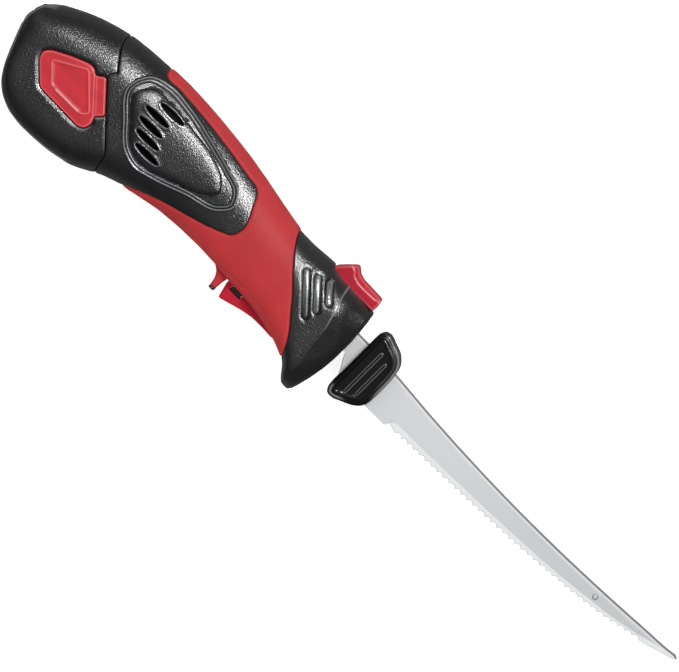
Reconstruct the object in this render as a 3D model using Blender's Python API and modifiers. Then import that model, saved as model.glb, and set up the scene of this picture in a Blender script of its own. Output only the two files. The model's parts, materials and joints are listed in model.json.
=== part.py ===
"""Cordless electric fillet knife, modelled as the separate pieces that it is assembled from.

The knife lies on its left side: +X runs to the blade tip, +Y to the spine and the thumb
button, and +Z to the right side. All sizes are millimetres and become metres in one place.
The outer form is one loft of superellipse sections; the battery, the two housing halves and
their soft grips are cut from it along their seams, and the drive train sits inside.
"""
import math

import bmesh
import bpy
import numpy as np
from mathutils import Matrix, Vector

MM = 0.001
FAR = 90.0              # past the outline of the body on every side
MERGE = 0.000002        # corners nearer than this are one, in metres
FLAT = math.radians(0.9)
SPRING_POINTS = 8       # to a turn of a spring

# Clearances
GAP = 0.3               # between pieces that seat on each other
SLIDE = 0.4             # round a piece that slides
YOKE_PLAY = 0.35        # each side of a crank pin in its yoke

# Outer form: x, top, bottom, half width, roundness of the section
SECTIONS = (
    (-249.0, 8.0, 1.0, 12.0, 2.6),
    (-246.0, 16.0, -7.2, 18.2, 3.0),
    (-243.0, 18.3, -14.5, 20.4, 3.2),
    (-239.0, 20.7, -24.8, 22.2, 3.5),
    (-234.0, 23.3, -32.2, 23.6, 3.8),
    (-228.0, 26.4, -37.0, 24.3, 4.0),
    (-220.0, 29.8, -40.6, 24.4, 4.0),
    (-210.0, 33.0, -42.1, 24.4, 4.0),
    (-200.0, 35.4, -41.9, 24.4, 4.0),
    (-190.0, 36.6, -41.2, 24.3, 3.8),
    (-180.0, 37.3, -39.4, 23.9, 3.6),
    (-171.0, 37.8, -35.6, 23.3, 3.4),
    (-160.0, 38.1, -29.6, 22.6, 3.2),
    (-150.0, 37.7, -26.1, 22.0, 3.1),
    (-140.0, 37.1, -23.8, 21.6, 3.0),
    (-125.0, 35.7, -20.8, 21.2, 3.0),
    (-110.0, 33.9, -19.5, 20.8, 3.0),
    (-95.0, 31.3, -19.2, 20.5, 3.0),
    (-80.0, 28.3, -19.8, 20.3, 3.0),
    (-70.0, 26.4, -21.2, 20.3, 3.0),
    (-60.0, 24.9, -21.3, 20.5, 3.0),
    (-50.0, 24.9, -22.2, 20.9, 3.1),
    (-40.0, 25.8, -24.2, 21.7, 3.3),
    (-35.5, 25.9, -25.2, 22.2, 3.4),
    (-31.0, 24.4, -26.2, 22.9, 3.5),
    (-25.0, 23.9, -28.4, 23.9, 3.8),
    (-19.0, 23.7, -31.5, 24.4, 4.0),
    (-15.5, 23.6, -36.6, 24.2, 4.0),
    (-12.5, 23.4, -40.4, 23.0, 3.8),
    (-7.0, 23.0, -41.0, 20.6, 3.4),
    (1.0, 22.4, -41.0, 17.0, 3.0),
)
HALF_THICKNESS = 23.0   # the flat flanks that the knife lies on
SECTION_POINTS = 20
INNER_POINTS = 12       # the plainer surfaces inside
BATTERY_WALL = 2.4
GRIP_SKIN = 1.8         # soft grip, thickness of its seat in the housing
PLAIN_FROM = 1.5        # inset past which a surface is a plain inner one
GRIP_PROUD = 0.5        # soft grip, height over the hard housing
INNER_WALL = 1.9        # housing wall under the soft grip
CAVITY_INSET = GRIP_SKIN + GAP + INNER_WALL

# Seams and outlines on the flank, x and y
SEAM = (
    (-201.8, 37.4), (-201.5, 32.7), (-200.0, 29.1), (-195.7, 23.4), (-190.6, 17.2),
    (-193.0, 14.2), (-193.2, 12.0), (-178.9, -3.7), (-166.4, -16.9), (-164.6, -19.6),
    (-163.9, -25.1), (-163.2, -29.0),
)
NOSE_FRONT = (
    (-4.2, 22.6), (-3.1, 21.5), (-1.8, 15.0), (-0.6, 3.0), (-0.7, -10.0),
    (-1.4, -18.0), (-2.9, -26.4), (-5.0, -35.0), (-6.6, -40.3),
)
GRIP_REAR_EDGE = (
    (-174.0, 35.5), (-160.0, 34.1), (-145.0, 33.0), (-120.0, 30.0), (-101.0, 26.9),
    (-95.5, 26.1), (-92.3, 23.8), (-89.6, 18.4), (-85.7, 10.6), (-84.6, 6.3), (-85.1, 2.0),
    (-87.2, -1.6), (-90.5, -3.3), (-100.0, -7.3), (-110.0, -10.5), (-128.0, -16.0),
    (-142.5, -22.3),
)
GRIP_FRONT_EDGE = (
    (-22.5, -27.5), (-25.7, -20.1), (-29.3, -14.4), (-34.3, -8.7), (-39.3, -2.3),
    (-50.0, 9.1), (-55.0, 14.9), (-60.0, 21.3), (-63.6, 27.4),
)
PANEL_OUTLINE = (
    (-181.4, 17.0), (-177.1, 27.7), (-165.7, 31.6), (-150.0, 30.7), (-130.0, 26.6),
    (-110.0, 21.3), (-101.5, 18.2), (-96.8, 9.2), (-100.7, 3.8), (-120.0, -3.1),
    (-140.0, -10.1), (-149.0, -12.1), (-158.0, -9.6), (-170.0, 1.3),
)
DOME_OUTLINE = (
    (-176.8, 17.0), (-171.0, 25.6), (-160.0, 26.3), (-140.0, 24.3), (-120.0, 20.6),
    (-110.7, 15.6), (-107.1, 9.9), (-112.0, 4.0), (-130.0, -3.3), (-147.0, -8.6),
    (-155.0, -7.2), (-168.0, 4.5),
)
PANEL_MOAT = 1.1        # depth of the groove round the vent panel
VENT_CENTRES = ((-154.6, 22.2), (-159.5, 15.7), (-158.0, 9.3), (-154.5, 3.3), (-149.3, -2.6))
VENT_LENGTH = 17.6
VENT_HEIGHT = 4.4
GRIP_BARS = (((-44.6, 14.6), (-29.0, -4.6)), ((-38.6, 16.2), (-26.0, 2.4)),
             ((-31.6, 18.0), (-24.0, 8.8)))
GRIP_BAR_WIDTH = 3.2
GRIP_BAR_HEIGHT = 0.8

# Battery
LATCH_OUTLINE = (
    (-227.5, -2.3), (-226.2, 0.6), (-215.0, 6.3), (-205.7, 10.2), (-202.1, 10.6),
    (-198.6, 8.1), (-193.6, 11.6), (-179.4, -3.9), (-183.6, -8.4), (-181.6, -12.3),
    (-183.0, -16.6), (-186.4, -18.4), (-215.0, -17.6), (-219.3, -16.6),
)
LATCH_TOP = 22.5        # height of the latch face over the middle plane
LATCH_THICKNESS = 3.0
LATCH_TRAVEL = 2.2
LATCH_FLOOR = 1.6
LATCH_CENTRE = (-203.0, -5.0)
LATCH_SPRING_RADIUS = 3.0
LATCH_SPRING_WELL = 4.0
CELL_RADIUS = 9.1
CELL_LENGTH = 49.0
CELL_SLANT = 30.0       # degrees that the cells lean, as the seam does
CELL_CENTRES = ((-202.9, -0.5), (-218.2, -11.8))
CELL_RIB = 1.8
CELL_RIB_SPREAD = 32.0
TONGUE_LOW = (-192.0, 2.0, -11.0)
TONGUE_HIGH = (-173.0, 20.0, 11.0)
CONTACT_SPREAD = 6.0
CONTACT_THICKNESS = 0.8
CONTACT_HEIGHT = 7.0
CONTACT_REACH = 10.0
JACK_HEIGHT = 11.0
JACK_RADIUS = 3.9
JACK_BORE = 2.9
JACK_DEPTH = 9.0

# Drive train
MOTOR_Y = 8.0
MOTOR_RADIUS = 12.2
MOTOR_LENGTH = 32.0
MOTOR_FRONT = -52.7
SHAFT_RADIUS = 1.15
MODULE = 1.0
WHEEL_TEETH = 18
WORM_PITCH_RADIUS = 4.5
WORM_LENGTH = 17.0
WHEEL_X = -38.0
WHEEL_WIDTH = 6.0
GEAR_SHAFT_RADIUS = 2.0
CRANK_THROW = 4.0
CRANK_PIN_RADIUS = 1.5
CRANK_DISC_RADIUS = 6.2
CRANK_DISC_THICKNESS = 1.3
FRAME_PLATE_GAP = 3.9
FRAME_PLATE = 2.4
CARRIER_THICKNESS = 2.4
WHEEL_SWING = math.radians(60.0)
DRIVE_PER_RADIAN = 3.47
BRIDGE_REAR, BRIDGE_FRONT = -20.0, -11.5
WHEEL_Y = MOTOR_Y - WORM_PITCH_RADIUS - WHEEL_TEETH * MODULE / 2
WORM_LEAD = math.pi * MODULE

# Blades
BLADE_THICKNESS = 1.0
EDGE_THICKNESS = 0.2
TANG_TAIL = -19.4
TANG_TOP = 7.9
TANG_BOTTOM = -4.6
FIRST_TOOTH = 50.8
LAST_TOOTH = 222.6
TOOTH_PITCH = 4.44
TOOTH_DEPTH = 1.7


def toothed(*points):
    """Points given as shares of the toothed run, from its first tooth, and heights."""
    return tuple((FIRST_TOOTH + share * (LAST_TOOTH - FIRST_TOOTH), y) for share, y in points)


BLADE_SPINE = (
    (TANG_TAIL, TANG_TOP), (7.0, TANG_TOP), (29.0, 6.6),
) + toothed((0.0535, 4.1), (0.2282, 2.5), (0.3737, 1.7), (0.5774, 1.6), (0.752, 2.4),
            (0.8685, 3.3), (0.9849, 4.5), (1.1013, 5.8), (1.1164, 6.2), (1.1275, 5.2))
BLADE_EDGE = (
    (TANG_TAIL, TANG_BOTTOM), (0.7, TANG_BOTTOM), (6.8, -15.7), (9.0, -17.6),
    (FIRST_TOOTH - 7.3, -17.6), (FIRST_TOOTH - 5.8, -14.9),
) + toothed((0.0, -16.8), (0.1548, -16.1), (0.3359, -15.1), (0.4395, -14.3), (0.5425, -13.4),
            (0.6455, -12.1), (0.748, -10.5), (0.8492, -8.4), (0.9494, -4.9), (1.0, -2.9),
            (1.0431, -0.9), (1.1013, 2.1), (1.1182, 3.0), (1.1275, 4.0))
BLADE_GRIND = (
    (TANG_TAIL, -4.2), (0.7, -4.2), (6.8, -15.3), (9.0, -17.2),
    (FIRST_TOOTH - 7.3, -17.2), (FIRST_TOOTH - 4.8, -12.1),
) + toothed((0.1409, -11.8), (0.3737, -10.6), (0.6065, -8.7), (0.7229, -6.9), (0.8685, -4.1),
            (0.9849, -0.3), (1.0751, 4.2), (1.1164, 5.0), (1.1275, 4.8))
RIVET_AT, = toothed((0.8085, -2.4))
RIVET_RADIUS = 0.8
RIVET_HEAD_RADIUS = 1.6
RIVET_HEAD = 0.6
GRIP_OUTLINE = (
    (7.5, 12.0), (8.2, 14.4), (10.0, 16.8), (12.1, 17.5), (17.9, 16.4), (23.6, 14.6),
    (26.4, 12.5), (27.9, 10.0), (29.0, 5.0), (29.4, -2.0), (29.3, -9.3), (28.6, -15.7),
    (27.1, -18.6), (24.3, -21.1), (17.9, -24.3), (12.1, -26.4), (9.3, -26.1), (7.5, -23.0),
)
GRIP_HALF = 10.5
GRIP_RIBS = ((15.7, 9.3, -18.6), (21.1, 6.4, -15.0))

# Trigger, lock and release button
TRIGGER_PIVOT = (-34.0, -20.5)
TRIGGER_HALF = 6.3
TRIGGER_SLOT_HALF = 7.0
TRIGGER_OUTLINE = (
    (-71.0, -22.4), (-68.8, -31.2), (-67.8, -31.5), (-60.7, -29.5), (-55.0, -27.9),
    (-47.9, -26.6), (-40.7, -26.5), (-33.0, -26.9), (-31.0, -25.8), (-30.6, -21.0),
    (-32.6, -17.9), (-35.6, -17.6), (-48.0, -18.4), (-69.6, -18.2),
)
SPUR_OUTLINE = (
    (-88.0, -16.0), (-84.5, -19.4), (-82.0, -20.1), (-79.3, -22.1), (-77.5, -25.0),
    (-76.8, -28.6), (-76.5, -31.0), (-73.1, -31.0), (-73.0, -26.4), (-72.4, -22.0),
    (-71.9, -16.0),
)
SPUR_HALF = 7.5
LOCK_AT = (-63.5, -22.7)
LOCK_SIZE = (7.0, 2.8, 12.0)
BUTTON_OUTLINE = (
    (-35.4, 22.0), (-35.4, 25.9), (-27.8, 33.6), (-26.7, 34.3), (-25.6, 33.8),
    (-23.0, 31.6), (-19.4, 30.5), (-12.0, 30.2), (-4.9, 29.8), (-3.9, 25.0), (-4.3, 22.0),
)
BUTTON_HALF = 7.4
BUTTON_WELL_FLOOR = 19.0
BUTTON_LEG = (-21.0, -12.0, 13.5)
CRADLE_LOW = 14.5

# Fasteners
HOUSING_SCREWS = (
    (-186.0, 27.0), (-156.0, -18.5), (-100.0, -12.3), (-99.5, 22.5), (-80.0, -12.3),
    (-46.0, 19.0), (-18.0, -17.0),
)
BATTERY_SCREWS = ((-226.0, 22.0), (-232.0, -25.0), (-176.0, -31.0))
SCREW_RADIUS = 1.3
SCREW_HEAD_RADIUS = 2.7
SCREW_HEAD = 2.0
SCREW_SEAT = 9.0
SCREW_REACH = 8.0
BOSS_RADIUS = 3.4

BLACK = (0.035, 0.037, 0.04, 1.0)
RED = (0.52, 0.045, 0.055, 1.0)
CRIMSON = (0.48, 0.02, 0.04, 1.0)
STEEL = (0.62, 0.63, 0.64, 1.0)
BRASS = (0.70, 0.50, 0.20, 1.0)
NYLON = (0.82, 0.80, 0.72, 1.0)
ZINC = (0.50, 0.51, 0.53, 1.0)
CELL_BLUE = (0.05, 0.16, 0.42, 1.0)
BOARD_GREEN = (0.02, 0.20, 0.09, 1.0)

for old in list(bpy.data.objects):
    bpy.data.objects.remove(old)

parts = bpy.data.collections.new("electric_fillet_knife")
cutters = bpy.data.collections.new("cutters")
bpy.context.scene.collection.children.link(parts)
bpy.context.scene.collection.children.link(cutters)


def material(name, colour, roughness, metallic=0.0):
    """Principled material, made once for each name."""
    found = bpy.data.materials.get(name)
    if found:
        return found
    made = bpy.data.materials.new(name)
    made.use_nodes = True
    shader = made.node_tree.nodes["Principled BSDF"]
    shader.inputs["Base Color"].default_value = colour
    shader.inputs["Roughness"].default_value = roughness
    shader.inputs["Metallic"].default_value = metallic
    made.diffuse_color = colour
    return made


def hard_plastic():
    return material("black_housing_plastic", BLACK, 0.42)


def soft_grip():
    return material("red_soft_grip", RED, 0.6)


def red_plastic():
    return material("red_button_plastic", CRIMSON, 0.35)


def steel():
    return material("stainless_steel", STEEL, 0.25, 1.0)


def spring_steel():
    return material("spring_steel", STEEL, 0.3, 1.0)


def brass():
    return material("brass", BRASS, 0.3, 1.0)


def nylon():
    return material("gear_nylon", NYLON, 0.5)


def zinc():
    return material("cast_zinc", ZINC, 0.45, 1.0)


# Making shapes

def shape(name, mesh):
    """New working object, kept among the cutters until it is finished."""
    made = bpy.data.objects.new(name, mesh)
    cutters.objects.link(made)
    made.hide_render = True
    made.display_type = "WIRE"
    return made


def mesh_object(name, bm):
    mesh = bpy.data.meshes.new(name)
    bm.to_mesh(mesh)
    bm.free()
    return shape(name, mesh)


def bake(made):
    """Give an object the mesh that its modifiers, or its curve, come to."""
    graph = bpy.context.evaluated_depsgraph_get()
    mesh = bpy.data.meshes.new_from_object(made.evaluated_get(graph))
    made.modifiers.clear()
    made.data = mesh
    return made


def cleaned(mesh):
    """Join points that lie on each other and split bent faces into triangles."""
    bm = bmesh.new()
    bm.from_mesh(mesh)
    bmesh.ops.remove_doubles(bm, verts=bm.verts, dist=MERGE)
    bmesh.ops.dissolve_degenerate(bm, edges=bm.edges, dist=MERGE)
    bmesh.ops.dissolve_limit(bm, angle_limit=FLAT, verts=bm.verts, edges=bm.edges)
    bmesh.ops.triangulate(bm, faces=bm.faces)
    bm.to_mesh(mesh)
    bm.free()


def combine(operation, body, tools):
    cleaned(body.data)
    for tool in tools:
        cleaned(tool.data)
        step = body.modifiers.new(operation.title(), "BOOLEAN")
        step.operation = operation
        step.object = tool
        bake(body)
        cleaned(body.data)
    for tool in tools:
        bpy.data.objects.remove(tool)
    return body


def cut(body, *tools):
    return combine("DIFFERENCE", body, tools)


def join(body, *tools):
    return combine("UNION", body, tools)


def common(body, *tools):
    return combine("INTERSECT", body, tools)


def copy_of(body, name):
    return shape(name, body.data.copy())


def turn(body, matrix):
    body.data.transform(matrix)
    return body


def block(name, low, high, bevel=0.0):
    """Box between two corners, with its edges rounded by bevel."""
    low, high = Vector(low) * MM, Vector(high) * MM
    bm = bmesh.new()
    bmesh.ops.create_cube(bm, size=1.0)
    size = Matrix.Diagonal((*(high - low), 1.0))
    bmesh.ops.transform(bm, matrix=Matrix.Translation((low + high) / 2) @ size, verts=bm.verts)
    if bevel:
        bmesh.ops.bevel(bm, geom=bm.edges[:], offset=bevel * MM, segments=2, affect="EDGES",
                        profile=0.5)
    return mesh_object(name, bm)


AXIS_TURN = {
    "X": Matrix.Rotation(math.pi / 2, 4, "Y"),
    "Y": Matrix.Rotation(-math.pi / 2, 4, "X"),
    "Z": Matrix.Identity(4),
}


def rod(name, centre, radius, length, axis="Z", sides=24):
    """Cylinder about its centre, along one axis."""
    bm = bmesh.new()
    bmesh.ops.create_cone(bm, cap_ends=True, segments=sides, radius1=radius * MM,
                          radius2=radius * MM, depth=length * MM)
    place = Matrix.Translation(Vector(centre) * MM) @ AXIS_TURN[axis]
    bmesh.ops.transform(bm, matrix=place, verts=bm.verts)
    return mesh_object(name, bm)


def between(name, x, y, radius, low, high, sides=24):
    """Cylinder along Z between two heights."""
    return rod(name, (x, y, (low + high) / 2), radius, high - low, "Z", sides)


def turned(name, profile, centre, axis="Z", sides=24):
    """Body of revolution; profile gives radius and height, from the top down its outer side."""
    bm = bmesh.new()
    points = [bm.verts.new((radius * MM, 0.0, height * MM)) for radius, height in profile]
    for first, second in zip(points, points[1:]):
        bm.edges.new((first, second))
    made = mesh_object(name, bm)
    screw = made.modifiers.new("Turn", "SCREW")
    screw.steps = sides
    screw.render_steps = sides
    screw.use_merge_vertices = True
    screw.merge_threshold = 0.00001
    bake(made)
    bm = bmesh.new()
    bm.from_mesh(made.data)
    bmesh.ops.remove_doubles(bm, verts=bm.verts, dist=0.000005)
    bmesh.ops.recalc_face_normals(bm, faces=bm.faces)
    bm.to_mesh(made.data)
    bm.free()
    return turn(made, Matrix.Translation(Vector(centre) * MM) @ AXIS_TURN[axis])


def mesh_from_curve(name, curve):
    """Turn a filled curve into one closed mesh."""
    made = shape(name, curve)
    graph = bpy.context.evaluated_depsgraph_get()
    mesh = bpy.data.meshes.new_from_object(made.evaluated_get(graph))
    bpy.data.objects.remove(made)
    bm = bmesh.new()
    bm.from_mesh(mesh)
    bmesh.ops.remove_doubles(bm, verts=bm.verts, dist=0.000002)
    bmesh.ops.recalc_face_normals(bm, faces=bm.faces)
    return mesh_object(name, bm)


def plate(name, outline, low, high):
    """Flat outline in X and Y, filled and extruded between two heights along Z."""
    curve = bpy.data.curves.new(name, "CURVE")
    curve.dimensions = "2D"
    curve.fill_mode = "BOTH"
    curve.extrude = (high - low) / 2 * MM
    spline = curve.splines.new("POLY")
    spline.points.add(len(outline) - 1)
    for point, (x, y) in zip(spline.points, outline):
        point.co = (x * MM, y * MM, 0.0, 1.0)
    spline.use_cyclic_u = True
    made = mesh_from_curve(name, curve)
    return turn(made, Matrix.Translation((0.0, 0.0, (high + low) / 2 * MM)))


def coil(name, base, radius, wire, height, turns):
    """Compression spring along Z from base, with its least gap printed."""
    curve = bpy.data.curves.new(name, "CURVE")
    curve.dimensions = "3D"
    curve.bevel_depth = wire / 2 * MM
    curve.bevel_resolution = 1
    curve.use_fill_caps = True
    count = turns * SPRING_POINTS + 1
    rise = (height - wire) / (count - 1)
    spline = curve.splines.new("POLY")
    spline.points.add(count - 1)
    for index, point in enumerate(spline.points):
        angle = math.tau * index / SPRING_POINTS
        point.co = (radius * math.cos(angle) * MM, radius * math.sin(angle) * MM,
                    (wire / 2 + rise * index) * MM, 1.0)
    print(name, "gap between curls", round(rise * SPRING_POINTS - wire, 2), "mm")
    made = mesh_from_curve(name, curve)
    return turn(made, Matrix.Translation(Vector(base) * MM))


def loft(name, rings):
    """Closed body through rings of equal count, each ring in order about the run of the loft."""
    bm = bmesh.new()
    rows = [[bm.verts.new(Vector(point) * MM) for point in ring] for ring in rings]
    for first, second in zip(rows, rows[1:]):
        for k in range(len(first)):
            after = (k + 1) % len(first)
            bm.faces.new((first[k], first[after], second[after], second[k]))
    bm.faces.new(rows[0][::-1])
    bm.faces.new(rows[-1])
    bmesh.ops.recalc_face_normals(bm, faces=bm.faces)
    return mesh_object(name, bm)


# Outlines

def smooth(outline, steps=3):
    """Closed outline through the given points, rounded between them."""
    count = len(outline)
    points = [np.array(point, dtype=float) for point in outline]
    rounded = []
    for k in range(count):
        before, here, after, next_one = (points[(k + j) % count] for j in (-1, 0, 1, 2))
        for step in range(steps):
            t = step / steps
            rounded.append(tuple(0.5 * (
                2 * here + (after - before) * t
                + (2 * before - 5 * here + 4 * after - next_one) * t ** 2
                + (3 * here - before - 3 * after + next_one) * t ** 3)))
    return rounded


def grown(outline, distance):
    """Closed outline moved outwards by distance, or inwards where it is negative."""
    count = len(outline)
    area = sum(outline[k][0] * outline[(k + 1) % count][1]
               - outline[(k + 1) % count][0] * outline[k][1] for k in range(count))
    side = 1.0 if area > 0 else -1.0
    moved = []
    for k in range(count):
        here = Vector(outline[k])
        into = (here - Vector(outline[k - 1])).normalized()
        out = (Vector(outline[(k + 1) % count]) - here).normalized()
        first = Vector((into.y, -into.x)) * side
        second = Vector((out.y, -out.x)) * side
        middle = (first + second).normalized()
        stretch = min(1.0 / max(middle.dot(first), 0.4), 2.5)
        moved.append(tuple(here + middle * distance * stretch))
    return moved


def ellipse(centre, length, height, sides=20):
    return [(centre[0] + length / 2 * math.cos(math.tau * k / sides),
             centre[1] + height / 2 * math.sin(math.tau * k / sides)) for k in range(sides)]


def battery_region(seam_gap):
    """Everything behind the seam, short of it by seam_gap."""
    edge = [(x - seam_gap, y) for x, y in SEAM]
    return [(-260.0, FAR), (edge[0][0], FAR), *edge, (edge[-1][0], -FAR), (-260.0, -FAR)]


def housing_region():
    """Everything from the seam to the front of the nose."""
    return [(SEAM[0][0], FAR), *SEAM, (SEAM[-1][0], -FAR), (NOSE_FRONT[-1][0], -FAR),
            *NOSE_FRONT[::-1], (NOSE_FRONT[0][0], FAR)]


def grip_region():
    """The soft grip seen from the side, from the top of the handle to its underside."""
    return [(GRIP_REAR_EDGE[0][0], FAR), *GRIP_REAR_EDGE, (GRIP_REAR_EDGE[-1][0] - 2.0, -FAR),
            (GRIP_FRONT_EDGE[0][0] + 2.0, -FAR), *GRIP_FRONT_EDGE,
            (GRIP_FRONT_EDGE[-1][0] - 1.0, FAR)]


# The outer form

def section(x, inset, count):
    """One ring of the outer form at x, inset from its surface."""
    columns = np.array(SECTIONS).T
    top, bottom, half, roundness = (np.interp(x, columns[0], column) for column in columns[1:])
    centre = (top + bottom) / 2
    rise = max((top - bottom) / 2 - inset, 0.5)
    half = max(half - inset, 0.5)
    limit = HALF_THICKNESS - inset
    ring = []
    for k in range(count):
        angle = math.tau * k / count
        c, s = math.cos(angle), math.sin(angle)
        y = centre + rise * math.copysign(abs(s) ** (2 / roundness), s)
        z = half * math.copysign(abs(c) ** (2 / roundness), c)
        ring.append((x, y, min(max(z, -limit), limit)))
    return ring


def form(name, inset, rear=SECTIONS[0][0], front=SECTIONS[-1][0]):
    """The outer form as a closed body, inset from its surface, between two places along X."""
    rear = max(rear, SECTIONS[0][0] + inset)
    front = min(front, SECTIONS[-1][0])
    places = [row[0] for row in SECTIONS]
    if inset > PLAIN_FROM:
        places, count = places[::2], INNER_POINTS
    else:
        count = SECTION_POINTS
    inner = [x for x in places if rear + 0.5 < x < front - 0.5]
    return loft(name, [section(x, inset, count) for x in (rear, *inner, front)])


def half_space(name, side):
    """Block on one side of the middle plane, half a gap off it."""
    inner, outer = side * GAP / 2, side * 60.0
    low, high = min(inner, outer), max(inner, outer)
    return block(name, (-300.0, -100.0, low), (300.0, 100.0, high))


SIDES = (("right", 1.0), ("left", -1.0))


# Finishing pieces

root = bpy.data.objects.new("knife_frame", None)
parts.objects.link(root)


def pivot(name, at, parent=root):
    """Empty on a joint's axis, which carries the pieces that move about it."""
    made = bpy.data.objects.new(name, None)
    made.empty_display_size = 0.01
    parts.objects.link(made)
    made.parent = parent
    made["at"] = at
    offset = Vector(at) - Vector(parent.get("at", (0.0, 0.0, 0.0)))
    made.location = offset * MM
    return made


def finish(made, name, finish_material, parent=root):
    """Name a piece, give it its material, and hang it on the frame or on a joint."""
    cutters.objects.unlink(made)
    parts.objects.link(made)
    made.name = name
    made.data.name = name
    made.hide_render = False
    made.display_type = "TEXTURED"
    made.data.materials.clear()
    made.data.materials.append(finish_material)
    made.data.shade_smooth()
    made.data.set_sharp_from_angle(angle=math.radians(35.0))
    made.data.transform(Matrix.Translation(-Vector(parent.get("at", (0.0, 0.0, 0.0))) * MM))
    made.parent = parent
    return made


# Joints

battery_axis = pivot("battery_slide", (SEAM[6][0], 11.0, 0.0))
rotor_axis = pivot("motor_axis", (MOTOR_FRONT, MOTOR_Y, 0.0))
wheel_axis = pivot("wheel_axis", (WHEEL_X, WHEEL_Y, 0.0))
drive_axes = {side: pivot("drive_" + side, (WHEEL_X, WHEEL_Y, 0.0)) for side, _ in SIDES}
blade_axes = {side: pivot("blade_mount_" + side, (0.0, 0.0, 0.0), drive_axes[side])
              for side, _ in SIDES}
trigger_axis = pivot("trigger_axis", (*TRIGGER_PIVOT, 0.0))
lock_axis = pivot("lock_axis", (*LOCK_AT, 0.0), trigger_axis)
button_axis = pivot("button_axis", (-20.0, BUTTON_WELL_FLOOR, 0.0))
latch_axes = {side: pivot("latch_axis_" + side, (*LATCH_CENTRE, 0.0), battery_axis)
              for side, _ in SIDES}


# Fasteners

def screw_tools(name, spots, low_inset):
    """Bosses, holes and counterbores of screws that enter from the left flank."""
    bosses, holes = [], []
    for x, y in spots:
        bosses.append(between(name + "_boss", x, y, BOSS_RADIUS, -40.0, 40.0, 12))
        holes.append(between(name + "_hole", x, y, SCREW_RADIUS + GAP, -SCREW_SEAT - GAP,
                             SCREW_REACH + GAP, 10))
        holes.append(between(name + "_sink", x, y, SCREW_HEAD_RADIUS + GAP, -40.0,
                             -SCREW_SEAT, 12))
    inside = form(name + "_reach", low_inset)
    for boss in bosses:
        common(boss, copy_of(inside, name + "_reach_copy"))
    bpy.data.objects.remove(inside)
    return bosses, holes


def screws(name, spots, parent):
    profile = ((0.0, SCREW_HEAD), (SCREW_HEAD_RADIUS * 0.55, SCREW_HEAD),
               (SCREW_HEAD_RADIUS, SCREW_HEAD * 0.45), (SCREW_HEAD_RADIUS, 0.0),
               (SCREW_RADIUS, 0.0), (SCREW_RADIUS, -SCREW_SEAT - SCREW_REACH + 1.0),
               (0.0, -SCREW_SEAT - SCREW_REACH))
    for number, (x, y) in enumerate(spots, 1):
        screw = turned(name, profile, (0.0, 0.0, 0.0), "Z", 10)
        turn(screw, Matrix.Translation(Vector((x, y, -SCREW_SEAT - GAP)) * MM)
             @ Matrix.Rotation(math.pi, 4, "X"))
        finish(screw, f"{name}_{number}", spring_steel(), parent)


# Battery: two case halves, cells, board, jack, contacts and the two latches

def latch_pocket(side):
    """Pocket in the flank of the battery for one latch, with the well of its spring."""
    sign = dict(SIDES)[side]
    floor = LATCH_TOP - LATCH_THICKNESS - LATCH_TRAVEL - GAP
    low, high = sorted((sign * floor, sign * 40.0))
    pocket = plate("pocket", grown(LATCH_OUTLINE, SLIDE), low, high)
    low, high = sorted((sign * (floor - LATCH_SPRING_WELL), sign * (floor + 1.0)))
    well = between("well", *LATCH_CENTRE, LATCH_SPRING_RADIUS + 1.0, low, high, 20)
    return join(pocket, well)


def battery_tongue():
    """Guide block on the front of the battery, with a slot for each contact of the handle."""
    tongue = block("tongue", TONGUE_LOW, TONGUE_HIGH, 1.0)
    middle = (TONGUE_LOW[1] + TONGUE_HIGH[1]) / 2
    for sign in (-1.0, 1.0):
        z = sign * CONTACT_SPREAD
        half = CONTACT_THICKNESS / 2 + SLIDE
        cut(tongue, block("slot", (TONGUE_HIGH[0] - CONTACT_REACH - 2.0,
                                   middle - CONTACT_HEIGHT / 2 - SLIDE, z - half),
                          (TONGUE_HIGH[0] + 5.0, middle + CONTACT_HEIGHT / 2 + SLIDE, z + half)))
    return tongue


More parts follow.
